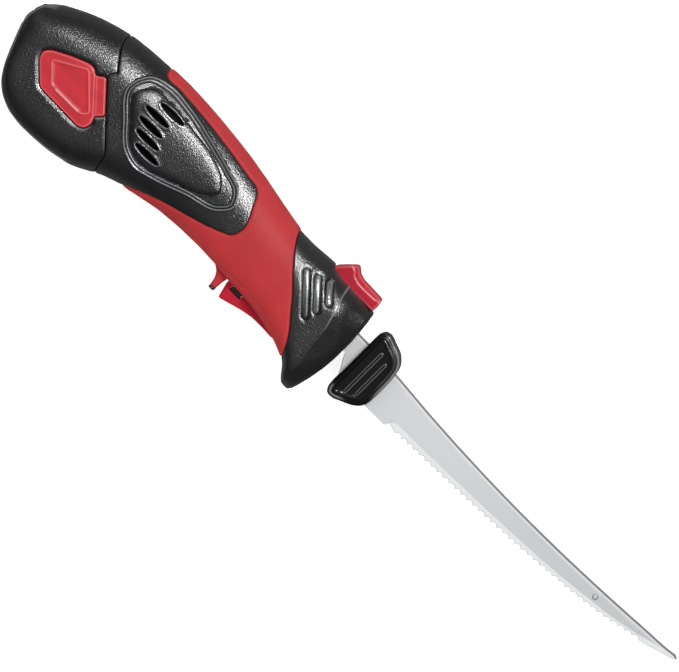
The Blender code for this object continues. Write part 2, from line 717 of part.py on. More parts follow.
def battery_case():
    front = battery_region(GAP)
    whole = common(form("case", 0.0, front=-150.0), plate("behind_seam", front, -60.0, 60.0))
    hollow = form("hollow", BATTERY_WALL, front=-152.0)
    common(hollow, plate("room", grown(battery_region(GAP), -BATTERY_WALL), -60.0, 60.0))
    floor = LATCH_TOP - LATCH_THICKNESS - LATCH_TRAVEL - GAP
    for sign in (-1.0, 1.0):
        low, high = sorted((sign * (floor - LATCH_FLOOR), sign * 40.0))
        cut(hollow, plate("shelf", grown(LATCH_OUTLINE, SLIDE + LATCH_FLOOR), low, high))
        low, high = sorted((sign * (floor - LATCH_SPRING_WELL - LATCH_FLOOR), sign * 40.0))
        cut(hollow, between("cup", *LATCH_CENTRE, LATCH_SPRING_RADIUS + 1.0 + LATCH_FLOOR,
                            low, high, 20))
    bosses, holes = screw_tools("battery_screw", BATTERY_SCREWS, 0.6)
    cut(hollow, *bosses)
    rear = SECTIONS[0][0]
    jack_middle = rear + JACK_DEPTH / 2
    cut(hollow, rod("jack_wall", (jack_middle, JACK_HEIGHT, 0.0), JACK_RADIUS + GAP + 1.5,
                    JACK_DEPTH + 4.0, "X"))
    lean = Matrix.Rotation(math.radians(CELL_SLANT), 4, "Z")
    middle = Matrix.Translation(Vector((*CELL_CENTRES[0], 0.0)) * MM)
    for offset in (-CELL_RIB_SPREAD / 2, CELL_RIB_SPREAD / 2):
        rib = block("cell_rib", (-60.0, offset - CELL_RIB / 2, -40.0),
                    (30.0, offset + CELL_RIB / 2, 40.0))
        turn(rib, middle @ lean)
        for x, y in CELL_CENTRES:
            way = rod("cell_way", (0.0, 0.0, 0.0), CELL_RADIUS + GAP, 120.0, "Y", 20)
            cut(rib, turn(way, Matrix.Translation(Vector((x, y, 0.0)) * MM) @ lean))
        cut(hollow, rib)
    cut(whole, hollow)
    join(whole, battery_tongue())
    cut(whole, latch_pocket("right"), latch_pocket("left"),
        rod("jack_hole", (jack_middle - 3.0, JACK_HEIGHT, 0.0), JACK_RADIUS + GAP,
            JACK_DEPTH + 16.0, "X"), *holes)
    for side, sign in SIDES:
        half = common(copy_of(whole, "half"), half_space("side", sign))
        finish(half, "battery_case_" + side, hard_plastic(), battery_axis)
    bpy.data.objects.remove(whole)
    screws("battery_screw", BATTERY_SCREWS, battery_axis)


def battery_inside():
    lean = Matrix.Rotation(math.radians(CELL_SLANT), 4, "Z") @ AXIS_TURN["Y"]
    profile = ((0.0, CELL_LENGTH / 2 + 1.0), (2.6, CELL_LENGTH / 2 + 1.0),
               (2.8, CELL_LENGTH / 2), (CELL_RADIUS - 0.6, CELL_LENGTH / 2),
               (CELL_RADIUS, CELL_LENGTH / 2 - 0.6), (CELL_RADIUS, -CELL_LENGTH / 2),
               (0.0, -CELL_LENGTH / 2))
    blue = material("cell_sleeve", CELL_BLUE, 0.35)
    for number, (x, y) in enumerate(CELL_CENTRES, 1):
        cell = turned("cell", profile, (0.0, 0.0, 0.0), "Z", 20)
        turn(cell, Matrix.Translation(Vector((x, y, 0.0)) * MM) @ lean)
        finish(cell, f"battery_cell_{number}", blue, battery_axis)
    board = block("board", (-31.0, -12.0, CELL_RADIUS + GAP), (-9.5, 12.0, CELL_RADIUS + 1.6))
    join(board, block("chip", (-24.0, -4.0, CELL_RADIUS + 1.0), (-15.0, 3.0, CELL_RADIUS + 3.0)))
    turn(board, Matrix.Translation(Vector((*CELL_CENTRES[0], 0.0)) * MM)
         @ Matrix.Rotation(math.radians(CELL_SLANT), 4, "Z"))
    finish(board, "charge_board", material("board", BOARD_GREEN, 0.5), battery_axis)
    jack = turned("jack", ((0.0, JACK_DEPTH), (JACK_RADIUS, JACK_DEPTH), (JACK_RADIUS, 0.0),
                           (JACK_BORE, 0.0), (JACK_BORE, JACK_DEPTH - 2.0),
                           (1.0, JACK_DEPTH - 2.0), (1.0, 1.5), (0.6, 1.0), (0.0, 1.0)),
                  (0.0, 0.0, 0.0), "Z", 14)
    turn(jack, Matrix.Translation(Vector((SECTIONS[0][0] + 0.6, JACK_HEIGHT, 0.0)) * MM)
         @ AXIS_TURN["X"])
    finish(jack, "charging_jack", hard_plastic(), battery_axis)


def latches():
    bottom = LATCH_TOP - LATCH_THICKNESS
    raised = [(-221.0, -2.8), (-214.0, 1.6), (-203.0, 5.0), (-199.2, 1.6), (-189.0, -9.0),
              (-190.0, -14.6), (-214.0, -14.0), (-217.5, -12.0)]
    for side, sign in SIDES:
        def span(a, b):
            return sorted((sign * a, sign * b))
        latch = plate("latch", LATCH_OUTLINE, *span(bottom, LATCH_TOP - 0.5))
        join(latch, plate("raised_face", grown(LATCH_OUTLINE, -1.6),
                          *span(bottom + 1.0, LATCH_TOP)))
        cut(latch, plate("thumb_dish", raised, *span(LATCH_TOP - 0.5, LATCH_TOP + 3.0)))
        join(latch, block("grip_bar", (-207.5, -12.4, span(bottom + 1, LATCH_TOP)[0]),
                          (-193.0, -10.8, span(bottom + 1, LATCH_TOP)[1])))
        join(latch, between("post", *LATCH_CENTRE, LATCH_SPRING_RADIUS - 1.1,
                            *span(bottom - 2.0, bottom + 0.5), 16))
        finish(latch, "latch_" + side, red_plastic(), latch_axes[side])
        low = bottom - LATCH_TRAVEL - GAP - LATCH_SPRING_WELL + 0.2
        spring = coil("latch_spring_" + side, (*LATCH_CENTRE, low), LATCH_SPRING_RADIUS, 0.6,
                      bottom - 0.2 - low, 3)
        if sign < 0:
            turn(spring, Matrix.Rotation(math.pi, 4, Vector((0.0, 1.0, 0.0))))
            turn(spring, Matrix.Translation((2 * LATCH_CENTRE[0] * MM, 0.0, 0.0)))
        finish(spring, "latch_spring_" + side, spring_steel(), battery_axis)


# Handle: two housing halves with a soft grip over them

def grip_bar(start, end, width, low, high):
    """Rounded bar seen from the side between two points."""
    run = Vector((end[0] - start[0], end[1] - start[1]))
    angle = math.atan2(run.y, run.x)
    outline = []
    for centre, first in ((end, -math.pi / 2), (start, math.pi / 2)):
        for step in range(5):
            a = angle + first + math.pi * step / 4
            outline.append((centre[0] + width / 2 * math.cos(a),
                            centre[1] + width / 2 * math.sin(a)))
    return plate("grip_bar", outline, low, high)


def housing():
    whole = common(form("housing", 0.0, rear=-215.0), plate("handle", housing_region(), -60, 60))
    bars = form("bar_tops", -GRIP_BAR_HEIGHT, rear=-60.0, front=-10.0)
    strips = [grip_bar(*ends, GRIP_BAR_WIDTH, 15.0, 30.0) for ends in GRIP_BARS]
    strips += [grip_bar(*ends, GRIP_BAR_WIDTH, -30.0, -15.0) for ends in GRIP_BARS]
    bar_set = [common(strip, copy_of(bars, "bar_tops")) for strip in strips]
    limit = block("flank_limit", (-60.0, -40.0, -HALF_THICKNESS), (0.0, 40.0, HALF_THICKNESS))
    for strip in bar_set:
        common(strip, copy_of(limit, "limit"))
    bpy.data.objects.remove(bars)
    bpy.data.objects.remove(limit)
    join(whole, *bar_set)

    seat = plate("grip_seat", grip_region(), -60.0, 60.0)
    cut(seat, form("seat_floor", GRIP_SKIN + GAP))
    cut(whole, seat)

    for sign in (-1.0, 1.0):
        low, high = sorted((sign * 12.0, sign * 40.0))
        moat = plate("moat", smooth(PANEL_OUTLINE, 2), low, high)
        cut(moat, plate("dome", smooth(DOME_OUTLINE, 2), low - 1.0, high + 1.0),
            form("moat_floor", PANEL_MOAT))
        cut(whole, moat)

    cavity = form("cavity", CAVITY_INSET, rear=-215.0, front=-7.5)
    ribs = block("socket_rib", (-180.0, -50.0, -40.0), (-177.6, 50.0, 40.0))
    cut(ribs, block("tongue_way", (-190.0, TONGUE_LOW[1] - SLIDE, TONGUE_LOW[2] - SLIDE),
                    (-170.0, TONGUE_HIGH[1] + SLIDE, TONGUE_HIGH[2] + SLIDE)))
    cut(cavity, ribs)
    terminal = block("terminal_rib", (-169.4, -50.0, -40.0), (-167.0, 50.0, 40.0))
    cut(terminal, block("terminal_way", (-172.0, 1.5, -11.4), (-160.0, 20.5, 11.4)),
        block("wire_way", (-172.0, -22.0, -9.0), (-160.0, -6.0, 9.0)))
    cut(cavity, terminal)
    for x in (-84.4, -75.0):
        rib = block("motor_rib", (x, -50.0, -40.0), (x + 2.4, 50.0, 40.0))
        cut(rib, rod("motor_way", (x, MOTOR_Y, 0.0), MOTOR_RADIUS + GAP, 20.0, "X", 20))
        cut(cavity, rib)
    for x in (-132.0, -106.0):
        rib = block("board_rib", (x, -50.0, -40.0), (x + 2.2, 50.0, 40.0))
        cut(rib, block("board_way", (x - 5.0, -6.4, -12.0), (x + 5.0, 18.4, 12.0)))
        cut(cavity, rib)
    cradle = block("cradle", (-37.5, CRADLE_LOW, -11.0), (-8.8, 40.0, 11.0))
    cut(cavity, cradle)
    for sign in (-1.0, 1.0):
        low, high = sorted((sign * (TRIGGER_SLOT_HALF + 0.2), sign * 40.0))
        cut(cavity, between("pin_boss", *TRIGGER_PIVOT, 3.4, low, high, 16))
    bosses, holes = screw_tools("housing_screw", HOUSING_SCREWS, 0.6)
    cut(cavity, *bosses)
    cut(whole, cavity)

    cut(whole,
        block("trigger_slot", (-71.8, -60.0, -TRIGGER_SLOT_HALF),
              (-30.0, -14.0, TRIGGER_SLOT_HALF)),
        between("trigger_pin_hole", *TRIGGER_PIVOT, 1.25 + GAP, -12.0, 12.0, 16),
        block("button_well", (-36.0, BUTTON_WELL_FLOOR, -BUTTON_HALF - SLIDE - 0.2),
              (5.0, 60.0, BUTTON_HALF + SLIDE + 0.2)),
        block("leg_way", (BUTTON_LEG[0] - 0.7, 5.0, -5.4),
              (BUTTON_LEG[1] + 0.7, BUTTON_WELL_FLOOR + 1.0, 5.4)),
        rod("spring_way", (-29.0, BUTTON_WELL_FLOOR, 0.0), 3.6, 6.4, "Y", 20),
        block("blade_way", (-14.0, -7.6, -2.4), (5.0, 9.6, 2.4)),
        block("heel_way", (-3.2, -18.5, -2.4), (9.0, -7.0, 2.4)),
        *holes)
    for sign in (-1.0, 1.0):
        low, high = sorted((sign * 8.0, sign * 40.0))
        for centre in VENT_CENTRES:
            cut(whole, plate("vent", ellipse(centre, VENT_LENGTH, VENT_HEIGHT, 12), low, high))
    for side, sign in SIDES:
        half = common(copy_of(whole, "half"), half_space("side", sign))
        finish(half, "housing_" + side, hard_plastic())
    bpy.data.objects.remove(whole)
    screws("housing_screw", HOUSING_SCREWS, root)


def overmould():
    whole = form("grip", -GRIP_PROUD, rear=-200.0, front=-2.0)
    common(whole, plate("grip_edge", grown(grip_region(), -GAP), -60.0, 60.0))
    spur = plate("spur", SPUR_OUTLINE, -SPUR_HALF, SPUR_HALF)
    join(whole, spur)
    cut(whole, form("grip_floor", GRIP_SKIN),
        block("trigger_slot", (-71.8, -60.0, -TRIGGER_SLOT_HALF),
              (-10.0, -14.0, TRIGGER_SLOT_HALF)))
    for x, y in HOUSING_SCREWS:
        if GRIP_REAR_EDGE[-1][0] < x < -70.0:
            cut(whole, between("screw_way", x, y, SCREW_HEAD_RADIUS + GAP, -40.0, -8.0, 16))
    for side, sign in SIDES:
        half = common(copy_of(whole, "half"), half_space("side", sign))
        finish(half, "soft_grip_" + side, soft_grip())
    bpy.data.objects.remove(whole)


# Motor and gears

def motor():
    rear = MOTOR_FRONT - MOTOR_LENGTH
    can = turned("can", ((0.0, MOTOR_LENGTH), (5.0, MOTOR_LENGTH), (5.0, MOTOR_LENGTH - 1.2),
                         (MOTOR_RADIUS - 1.2, MOTOR_LENGTH - 1.2),
                         (MOTOR_RADIUS, MOTOR_LENGTH - 2.4), (MOTOR_RADIUS, 0.0), (0.0, 0.0)),
                 (0.0, 0.0, 0.0), "Z", 20)
    cut(can, rod("shaft_hole", (0.0, 0.0, MOTOR_LENGTH), SHAFT_RADIUS + GAP, 16.0, "Z", 12))
    turn(can, Matrix.Translation(Vector((rear, MOTOR_Y, 0.0)) * MM) @ AXIS_TURN["X"])
    finish(can, "motor_can", zinc())
    cap = turned("cap", ((0.0, 3.0), (4.0, 3.0), (4.0, 2.0), (MOTOR_RADIUS - 0.6, 2.0),
                         (MOTOR_RADIUS, 1.4), (MOTOR_RADIUS, 0.0), (0.0, 0.0)),
                 (0.0, 0.0, 0.0), "Z", 20)
    turn(cap, Matrix.Translation(Vector((rear - GAP, MOTOR_Y, 0.0)) * MM)
         @ Matrix.Rotation(-math.pi / 2, 4, "Y"))
    for sign in (-1.0, 1.0):
        join(cap, block("tag", (rear - 7.0, MOTOR_Y - 1.2, sign * 9.0 - 0.3),
                        (rear - 1.0, MOTOR_Y + 1.2, sign * 9.0 + 0.3)))
    finish(cap, "motor_end_cap", hard_plastic())


def worm():
    """Right-hand single-start worm, its thread midway between the wheel's teeth at the top."""
    root_radius = WORM_PITCH_RADIUS - 1.15
    crest_radius = WORM_PITCH_RADIUS + 0.85
    half = WORM_LENGTH / 2
    body = rod("worm_core", (WHEEL_X, MOTOR_Y, 0.0), root_radius, WORM_LENGTH, "X", 12)
    turns = (WORM_LENGTH - 2.6) / WORM_LEAD
    steps = 12
    count = int(turns * steps)
    rings = []
    for k in range(count + 1):
        angle = (k - count / 2) / steps * math.tau
        middle = WHEEL_X + WORM_LEAD / 2 + WORM_LEAD * angle / math.tau
        ring = []
        for along, radius in ((-0.95, root_radius - 0.5), (-0.40, crest_radius),
                              (0.40, crest_radius), (0.95, root_radius - 0.5)):
            ring.append((middle + along, MOTOR_Y - radius * math.cos(angle),
                         -radius * math.sin(angle)))
        rings.append(ring)
    join(body, loft("thread", rings))
    ends = block("ends", (WHEEL_X - half, MOTOR_Y - 9.0, -9.0), (WHEEL_X + half, MOTOR_Y + 9, 9))
    common(body, ends)
    cut(body, rod("bore", (WHEEL_X, MOTOR_Y, 0.0), SHAFT_RADIUS + GAP, 60.0, "X", 12))
    finish(body, "worm", brass(), rotor_axis)
    shaft_front = WHEEL_X + half + 5.5
    shaft_rear = MOTOR_FRONT - 7.0
    finish(rod("shaft", ((shaft_front + shaft_rear) / 2, MOTOR_Y, 0.0), SHAFT_RADIUS,
               shaft_front - shaft_rear, "X", 12), "motor_shaft", steel(), rotor_axis)


def worm_wheel():
    pitch = WHEEL_TEETH * MODULE / 2
    twist = WORM_LEAD / (math.tau * WORM_PITCH_RADIUS) / pitch
    rings = []
    for z in (-WHEEL_WIDTH / 2, 0.0, WHEEL_WIDTH / 2):
        ring = []
        for tooth in range(WHEEL_TEETH):
            middle = math.pi / 2 + math.tau * tooth / WHEEL_TEETH + twist * z
            for angle, radius in ((-0.095, pitch - 1.2), (-0.045, pitch + 0.85),
                                  (0.045, pitch + 0.85), (0.095, pitch - 1.2)):
                ring.append((WHEEL_X + radius * math.cos(middle + angle),
                             WHEEL_Y + radius * math.sin(middle + angle), z))
        rings.append(ring)
    wheel = loft("wheel", rings)
    cut(wheel, between("bore", WHEEL_X, WHEEL_Y, GEAR_SHAFT_RADIUS + GAP, -10.0, 10.0, 16))
    finish(wheel, "worm_wheel", nylon(), wheel_axis)

    disc_in = FRAME_PLATE_GAP + FRAME_PLATE + SLIDE
    disc_out = disc_in + CRANK_DISC_THICKNESS
    finish(between("shaft", WHEEL_X, WHEEL_Y, GEAR_SHAFT_RADIUS, -disc_out, disc_out, 16),
           "gear_shaft", steel(), wheel_axis)
    pin_out = disc_out + SLIDE + CARRIER_THICKNESS + 0.4
    for side, sign in SIDES:
        disc = between("disc", WHEEL_X, WHEEL_Y, CRANK_DISC_RADIUS,
                       *sorted((sign * disc_in, sign * disc_out)), 24)
        join(disc, between("pin", WHEEL_X, WHEEL_Y + sign * CRANK_THROW, CRANK_PIN_RADIUS,
                           *sorted((sign * (disc_in + 0.5), sign * pin_out)), 16))
        cut(disc, between("bore", WHEEL_X, WHEEL_Y, GEAR_SHAFT_RADIUS + GAP, -12.0, 12.0, 16))
        finish(disc, "crank_" + side, steel(), wheel_axis)
        bush = between("bush", WHEEL_X, WHEEL_Y, GEAR_SHAFT_RADIUS + GAP + 1.2,
                       *sorted((sign * (FRAME_PLATE_GAP - 0.5),
                                sign * (FRAME_PLATE_GAP + FRAME_PLATE))), 20)
        cut(bush, between("bore", WHEEL_X, WHEEL_Y, GEAR_SHAFT_RADIUS + GAP, -12.0, 12.0, 16))
        finish(bush, "shaft_bush_" + side, brass())


def gear_frame():
    """Cast frame: motor plate, two side plates with the shaft bores, and the front bearing."""
    rear, front = MOTOR_FRONT + GAP, WHEEL_X + WORM_LENGTH / 2 + 5.0
    outer = FRAME_PLATE_GAP + FRAME_PLATE
    frame = block("motor_plate", (rear, WHEEL_Y - 8.5, -11.5), (rear + 2.7, MOTOR_Y + 8.5, 11.5))
    bridge = block("side_plates", (rear + 1.0, WHEEL_Y - 8.5, -outer),
                   (front, WHEEL_Y + 8.7, outer))
    cut(bridge, block("wheel_way", (rear + 2.7, -60.0, -FRAME_PLATE_GAP),
                      (front - 3.0, 60.0, FRAME_PLATE_GAP)))
    post = block("front_post", (front - 3.0, WHEEL_Y - 2.0, -4.6), (front, MOTOR_Y + 4.2, 4.6))
    join(frame, bridge, post)
    cut(frame, between("shaft_bore", WHEEL_X, WHEEL_Y, GEAR_SHAFT_RADIUS + 2 * GAP + 1.2,
                       -12.0, 12.0, 20),
        rod("motor_boss_bore", (rear, MOTOR_Y, 0.0), 5.6, 12.0, "X", 24),
        rod("front_bore", (front, MOTOR_Y, 0.0), SHAFT_RADIUS + 2 * GAP + 1.5, 12.0, "X", 20))
    finish(frame, "gear_frame", zinc())
    bush = rod("bush", (front - 1.5, MOTOR_Y, 0.0), SHAFT_RADIUS + GAP + 1.5, 3.4, "X", 20)
    cut(bush, rod("bore", (front, MOTOR_Y, 0.0), SHAFT_RADIUS + GAP, 20.0, "X", 12))
    finish(bush, "worm_bush", brass())


def carriers():
    """Yoke round each crank pin, with an arm to the channel that holds a blade's tang."""
    inner = FRAME_PLATE_GAP + FRAME_PLATE + SLIDE + CRANK_DISC_THICKNESS + SLIDE
    outer = inner + CARRIER_THICKNESS
    face = GAP / 2 + BLADE_THICKNESS + GAP
    slot = CRANK_PIN_RADIUS + YOKE_PLAY
    reach = CRANK_THROW + CRANK_PIN_RADIUS + 0.5
    for side, sign in SIDES:
        def box(name, low, high, bevel=0.0):
            z = sorted((sign * low[2], sign * high[2]))
            return block(name, (low[0], low[1], z[0]), (high[0], high[1], z[1]), bevel)
        yoke = box("yoke", (WHEEL_X - slot - 2.8, WHEEL_Y - reach - 2.2, inner),
                   (WHEEL_X + slot + 2.8, WHEEL_Y + reach + 2.2, outer), 0.5)
        join(yoke, box("arm", (WHEEL_X + slot + 1.0, -5.6, inner),
                       (BRIDGE_FRONT, 2.4, outer)),
             box("bridge", (BRIDGE_REAR, -6.6, face), (BRIDGE_FRONT, 9.4, outer)))
        cut(yoke, box("pin_slot", (WHEEL_X - slot, WHEEL_Y - reach, inner - 5.0),
                      (WHEEL_X + slot, WHEEL_Y + reach, outer + 5.0)))
        lips = box("lips", (BRIDGE_REAR, -6.6, GAP / 2), (BRIDGE_FRONT, 9.4, face + 0.4))
        cut(lips, box("tang_way", (-40.0, TANG_BOTTOM - GAP, -10.0), (10.0, TANG_TOP + GAP, face)))
        join(yoke, lips)
        finish(yoke, "blade_carrier_" + side, nylon(), drive_axes[side])


# Blades

def along(outline, x):
    columns = np.array(outline).T
    return float(np.interp(x, columns[0], columns[1]))


def tooth_depth(x):
    """Depth of the gullet at x: nothing at a tooth's point, a scallop between two points."""
    if not FIRST_TOOTH <= x <= LAST_TOOTH:
        return 0.0
    phase = ((x - FIRST_TOOTH) / TOOTH_PITCH) % 1.0
    return TOOTH_DEPTH * min(1.0, 4.0 * phase * (1.0 - phase) * 1.05)


def blade(side, sign):
    places = [x for x, _ in BLADE_EDGE if x < FIRST_TOOTH - 0.5 or x > LAST_TOOTH + 0.5]
    teeth = int((LAST_TOOTH - FIRST_TOOTH) / TOOTH_PITCH)
    for tooth in range(teeth + 1):
        for phase in (0.0, 0.22, 0.5, 0.78):
            x = FIRST_TOOTH + (tooth + phase) * TOOTH_PITCH
            if x < LAST_TOOTH:
                places.append(x)
    places += [7.0, LAST_TOOTH]
    inner = sign * GAP / 2
    outer = sign * (GAP / 2 + BLADE_THICKNESS)
    rings = []
    for x in sorted(set(places)):
        top, edge, grind = along(BLADE_SPINE, x), along(BLADE_EDGE, x), along(BLADE_GRIND, x)
        edge += tooth_depth(x)
        grind = max(grind, edge + 0.2)
        rings.append([(x, top, inner), (x, edge, inner),
                      (x, edge, inner + sign * EDGE_THICKNESS), (x, grind, outer),
                      (x, top, outer)])
    return loft("blade", rings)


def blades():
    right = blade("right", 1.0)
    cut(right, between("rivet_hole", *RIVET_AT, RIVET_RADIUS + GAP, -5.0, 5.0, 12))
    finish(right, "blade_right", steel(), blade_axes["right"])
    left = blade("left", -1.0)
    swing = 2 * DRIVE_PER_RADIAN * WHEEL_SWING
    half_slot = swing + RIVET_RADIUS + 0.6
    x, y = RIVET_AT
    cut(left, grip_bar((x - half_slot + 1.1, y), (x + half_slot - 1.1, y),
                       2 * (RIVET_RADIUS + GAP), -5.0, 5.0),
        between("keyhole", x - half_slot - 0.8, y, RIVET_HEAD_RADIUS + GAP, -5.0, 5.0, 16))
    finish(left, "blade_left", steel(), blade_axes["left"])
    face = GAP / 2 + BLADE_THICKNESS + GAP / 2
    rivet = turned("rivet", ((0.0, face + RIVET_HEAD), (RIVET_HEAD_RADIUS * 0.7, face + RIVET_HEAD),
                             (RIVET_HEAD_RADIUS, face + 0.2), (RIVET_HEAD_RADIUS, face),
                             (RIVET_RADIUS, face), (RIVET_RADIUS, -face),
                             (RIVET_HEAD_RADIUS, -face), (RIVET_HEAD_RADIUS, -face - 0.2),
                             (RIVET_HEAD_RADIUS * 0.7, -face - RIVET_HEAD),
                             (0.0, -face - RIVET_HEAD)), (*RIVET_AT, 0.0), "Z", 12)
    finish(rivet, "tip_rivet", steel(), blade_axes["right"])
    face = GAP / 2 + BLADE_THICKNESS + GAP
    for side, sign in SIDES:
        def span(a, b):
            return sorted((sign * a, sign * b))
        grip = plate("grip", GRIP_OUTLINE, *span(face, GRIP_HALF - 2.4))
        join(grip, plate("grip_step", grown(GRIP_OUTLINE, -0.9),
                         *span(GRIP_HALF - 3.0, GRIP_HALF - 1.4)),
             plate("grip_face", grown(GRIP_OUTLINE, -2.4),
                   *span(GRIP_HALF - 2.0, GRIP_HALF - 0.7)))
        cut(grip, plate("groove", [(10.9, -20.0), (12.1, -20.0), (12.1, 11.0), (10.9, 11.0)],
                        *span(GRIP_HALF - 2.0, GRIP_HALF + 3.0)))
        for x, top, bottom in GRIP_RIBS:
            join(grip, grip_bar((x, bottom), (x, top), 2.4, *span(GRIP_HALF - 2.6, GRIP_HALF)))
        finish(grip, "blade_grip_" + side, material("grip_plastic", BLACK, 0.25),
               blade_axes[side])


# Controls

def trigger():
    body = plate("trigger", TRIGGER_OUTLINE, -TRIGGER_HALF, TRIGGER_HALF)
    edges = body.modifiers.new("Rounded", "BEVEL")
    edges.width = 0.8 * MM
    edges.segments = 1
    edges.limit_method = "ANGLE"
    edges.angle_limit = math.radians(60.0)
    bake(body)
    cut(body, between("pin_hole", *TRIGGER_PIVOT, 1.25 + GAP, -20.0, 20.0, 16))
    size = [value / 2 + GAP for value in LOCK_SIZE]
    cut(body, block("lock_way", (LOCK_AT[0] - size[0], LOCK_AT[1] - size[1], -20.0),
                    (LOCK_AT[0] + size[0], LOCK_AT[1] + size[1], 20.0)),
        rod("spring_seat", (-50.0, -18.2, 0.0), 3.0, 4.0, "Y", 16))
    finish(body, "trigger", red_plastic(), trigger_axis)
    finish(between("pin", *TRIGGER_PIVOT, 1.25, -11.0, 11.0, 16), "trigger_pin", steel())
    half = [value / 2 for value in LOCK_SIZE]
    high = TRIGGER_SLOT_HALF - 0.2
    bolt = block("bolt", (LOCK_AT[0] - half[0], LOCK_AT[1] - half[1], high - LOCK_SIZE[2]),
                 (LOCK_AT[0] + half[0], LOCK_AT[1] + half[1], high), 0.6)
    finish(bolt, "trigger_lock", hard_plastic(), lock_axis)
    spring = coil("trigger_spring", (0.0, 0.0, 0.0), 2.0, 0.6, 5.4, 4)
    turn(spring, Matrix.Translation(Vector((-50.0, -19.9, 0.0)) * MM) @ AXIS_TURN["Y"])
    finish(spring, "trigger_spring", spring_steel())


def release_button():
    body = plate("button", BUTTON_OUTLINE, -BUTTON_HALF, BUTTON_HALF)
    edges = body.modifiers.new("Rounded", "BEVEL")
    edges.width = 0.7 * MM
    edges.segments = 1
    edges.limit_method = "ANGLE"
    edges.angle_limit = math.radians(60.0)
    bake(body)
    rear, front, low = BUTTON_LEG
    join(body, block("leg", (rear, low, -4.8), (front, BUTTON_OUTLINE[0][1] + 1.0, 4.8)))
    finish(body, "release_button", red_plastic(), button_axis)
    spring = coil("release_spring", (0.0, 0.0, 0.0), 2.4, 0.6,
                  BUTTON_OUTLINE[0][1] - GAP - (BUTTON_WELL_FLOOR - 3.0), 4)
    turn(spring, Matrix.Translation(Vector((-29.0, BUTTON_WELL_FLOOR - 3.0, 0.0)) * MM)
         @ AXIS_TURN["Y"])
    finish(spring, "release_spring", spring_steel())


# Electrics

def electrics():
    middle = (TONGUE_LOW[1] + TONGUE_HIGH[1]) / 2
    terminal = block("terminal", (-170.6, 2.0, -11.0), (-163.6, 20.0, 11.0), 0.6)
    cut(terminal, block("relief", (-171.5, 6.0, -2.0), (-168.4, 16.0, 2.0)))
    for sign, name in ((1.0, "right"), (-1.0, "left")):
        z = sign * CONTACT_SPREAD
        half = CONTACT_THICKNESS / 2
        low = middle - CONTACT_HEIGHT / 2
        cut(terminal, block("blade_way", (-172.0, low - GAP, z - half - GAP),
                            (-160.0, low + CONTACT_HEIGHT + GAP, z + half + GAP)))
        contact = block("contact", (TONGUE_HIGH[0] - CONTACT_REACH, low, z - half),
                        (-160.5, low + CONTACT_HEIGHT, z + half))
        finish(contact, "contact_blade_" + name, brass())
    finish(terminal, "terminal_block", nylon())
    board = block("board", (-133.0, -5.8, 1.0), (-102.6, 17.8, 2.6))
    chips = [((-126.0, 6.0), (9.0, 6.0), 1.6), ((-113.0, 10.0), (6.5, 5.0), 2.4),
             ((-118.0, -1.0), (5.0, 3.6), 1.2)]
    for (x, y), (wide, tall), height in chips:
        join(board, block("chip", (x - wide / 2, y - tall / 2, 2.0),
                          (x + wide / 2, y + tall / 2, 2.6 + height)))
    join(board, between("capacitor", -122.0, 13.0, 3.0, 2.0, 10.0, 16))
    finish(board, "control_board", material("board", BOARD_GREEN, 0.5))
    switch = block("switch", (-68.6, -11.4, -2.9), (-55.8, MOTOR_Y - MOTOR_RADIUS - GAP, 2.9), 0.3)
    join(switch, block("button", (-66.0, -12.2, -1.4), (-64.0, -11.0, 1.4)))
    finish(switch, "micro_switch", hard_plastic())


def set_on_its_side():
    """Move the frame so that the knife stands on Z = 0, with its box centred on the origin."""
    bpy.context.view_layer.update()
    corners = np.array([made.matrix_world @ Vector(corner)
                        for made in parts.objects if made.type == "MESH"
                        for corner in made.bound_box])
    low, high = corners.min(axis=0), corners.max(axis=0)
    root.location = (-(low[0] + high[0]) / 2, -(low[1] + high[1]) / 2, -low[2])
    print("frame origin", [round(value / MM, 3) for value in root.location],
          "size", [round(value / MM, 2) for value in high - low])


battery_case()
battery_inside()
latches()
housing()
overmould()
motor()
worm()
worm_wheel()
gear_frame()
carriers()
blades()
trigger()
release_button()
electrics()
set_on_its_side()
total = 0
for made in parts.objects:
    if made.type == "MESH":
        made.data.calc_loop_triangles()
        total += len(made.data.loop_triangles)
print("triangles", total, "pieces", sum(made.type == "MESH" for made in parts.objects))
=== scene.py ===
"""Dresses a cordless electric fillet knife: moulded skins, soft grip, blades and studio.

Sizes are millimetres in the knife's own frame: +X to the blade tip, +Y to the spine, +Z out of
the right flank, with the parting plane at Z = 0. They become metres in the shared frame when a
mesh is made.
"""
import json
import logging
import math
from collections.abc import Callable, Iterable, Sequence
from dataclasses import dataclass, field
from enum import Enum

import bmesh
import bpy
import numpy as np
from mathutils import Matrix, Vector
from mathutils.geometry import delaunay_2d_cdt

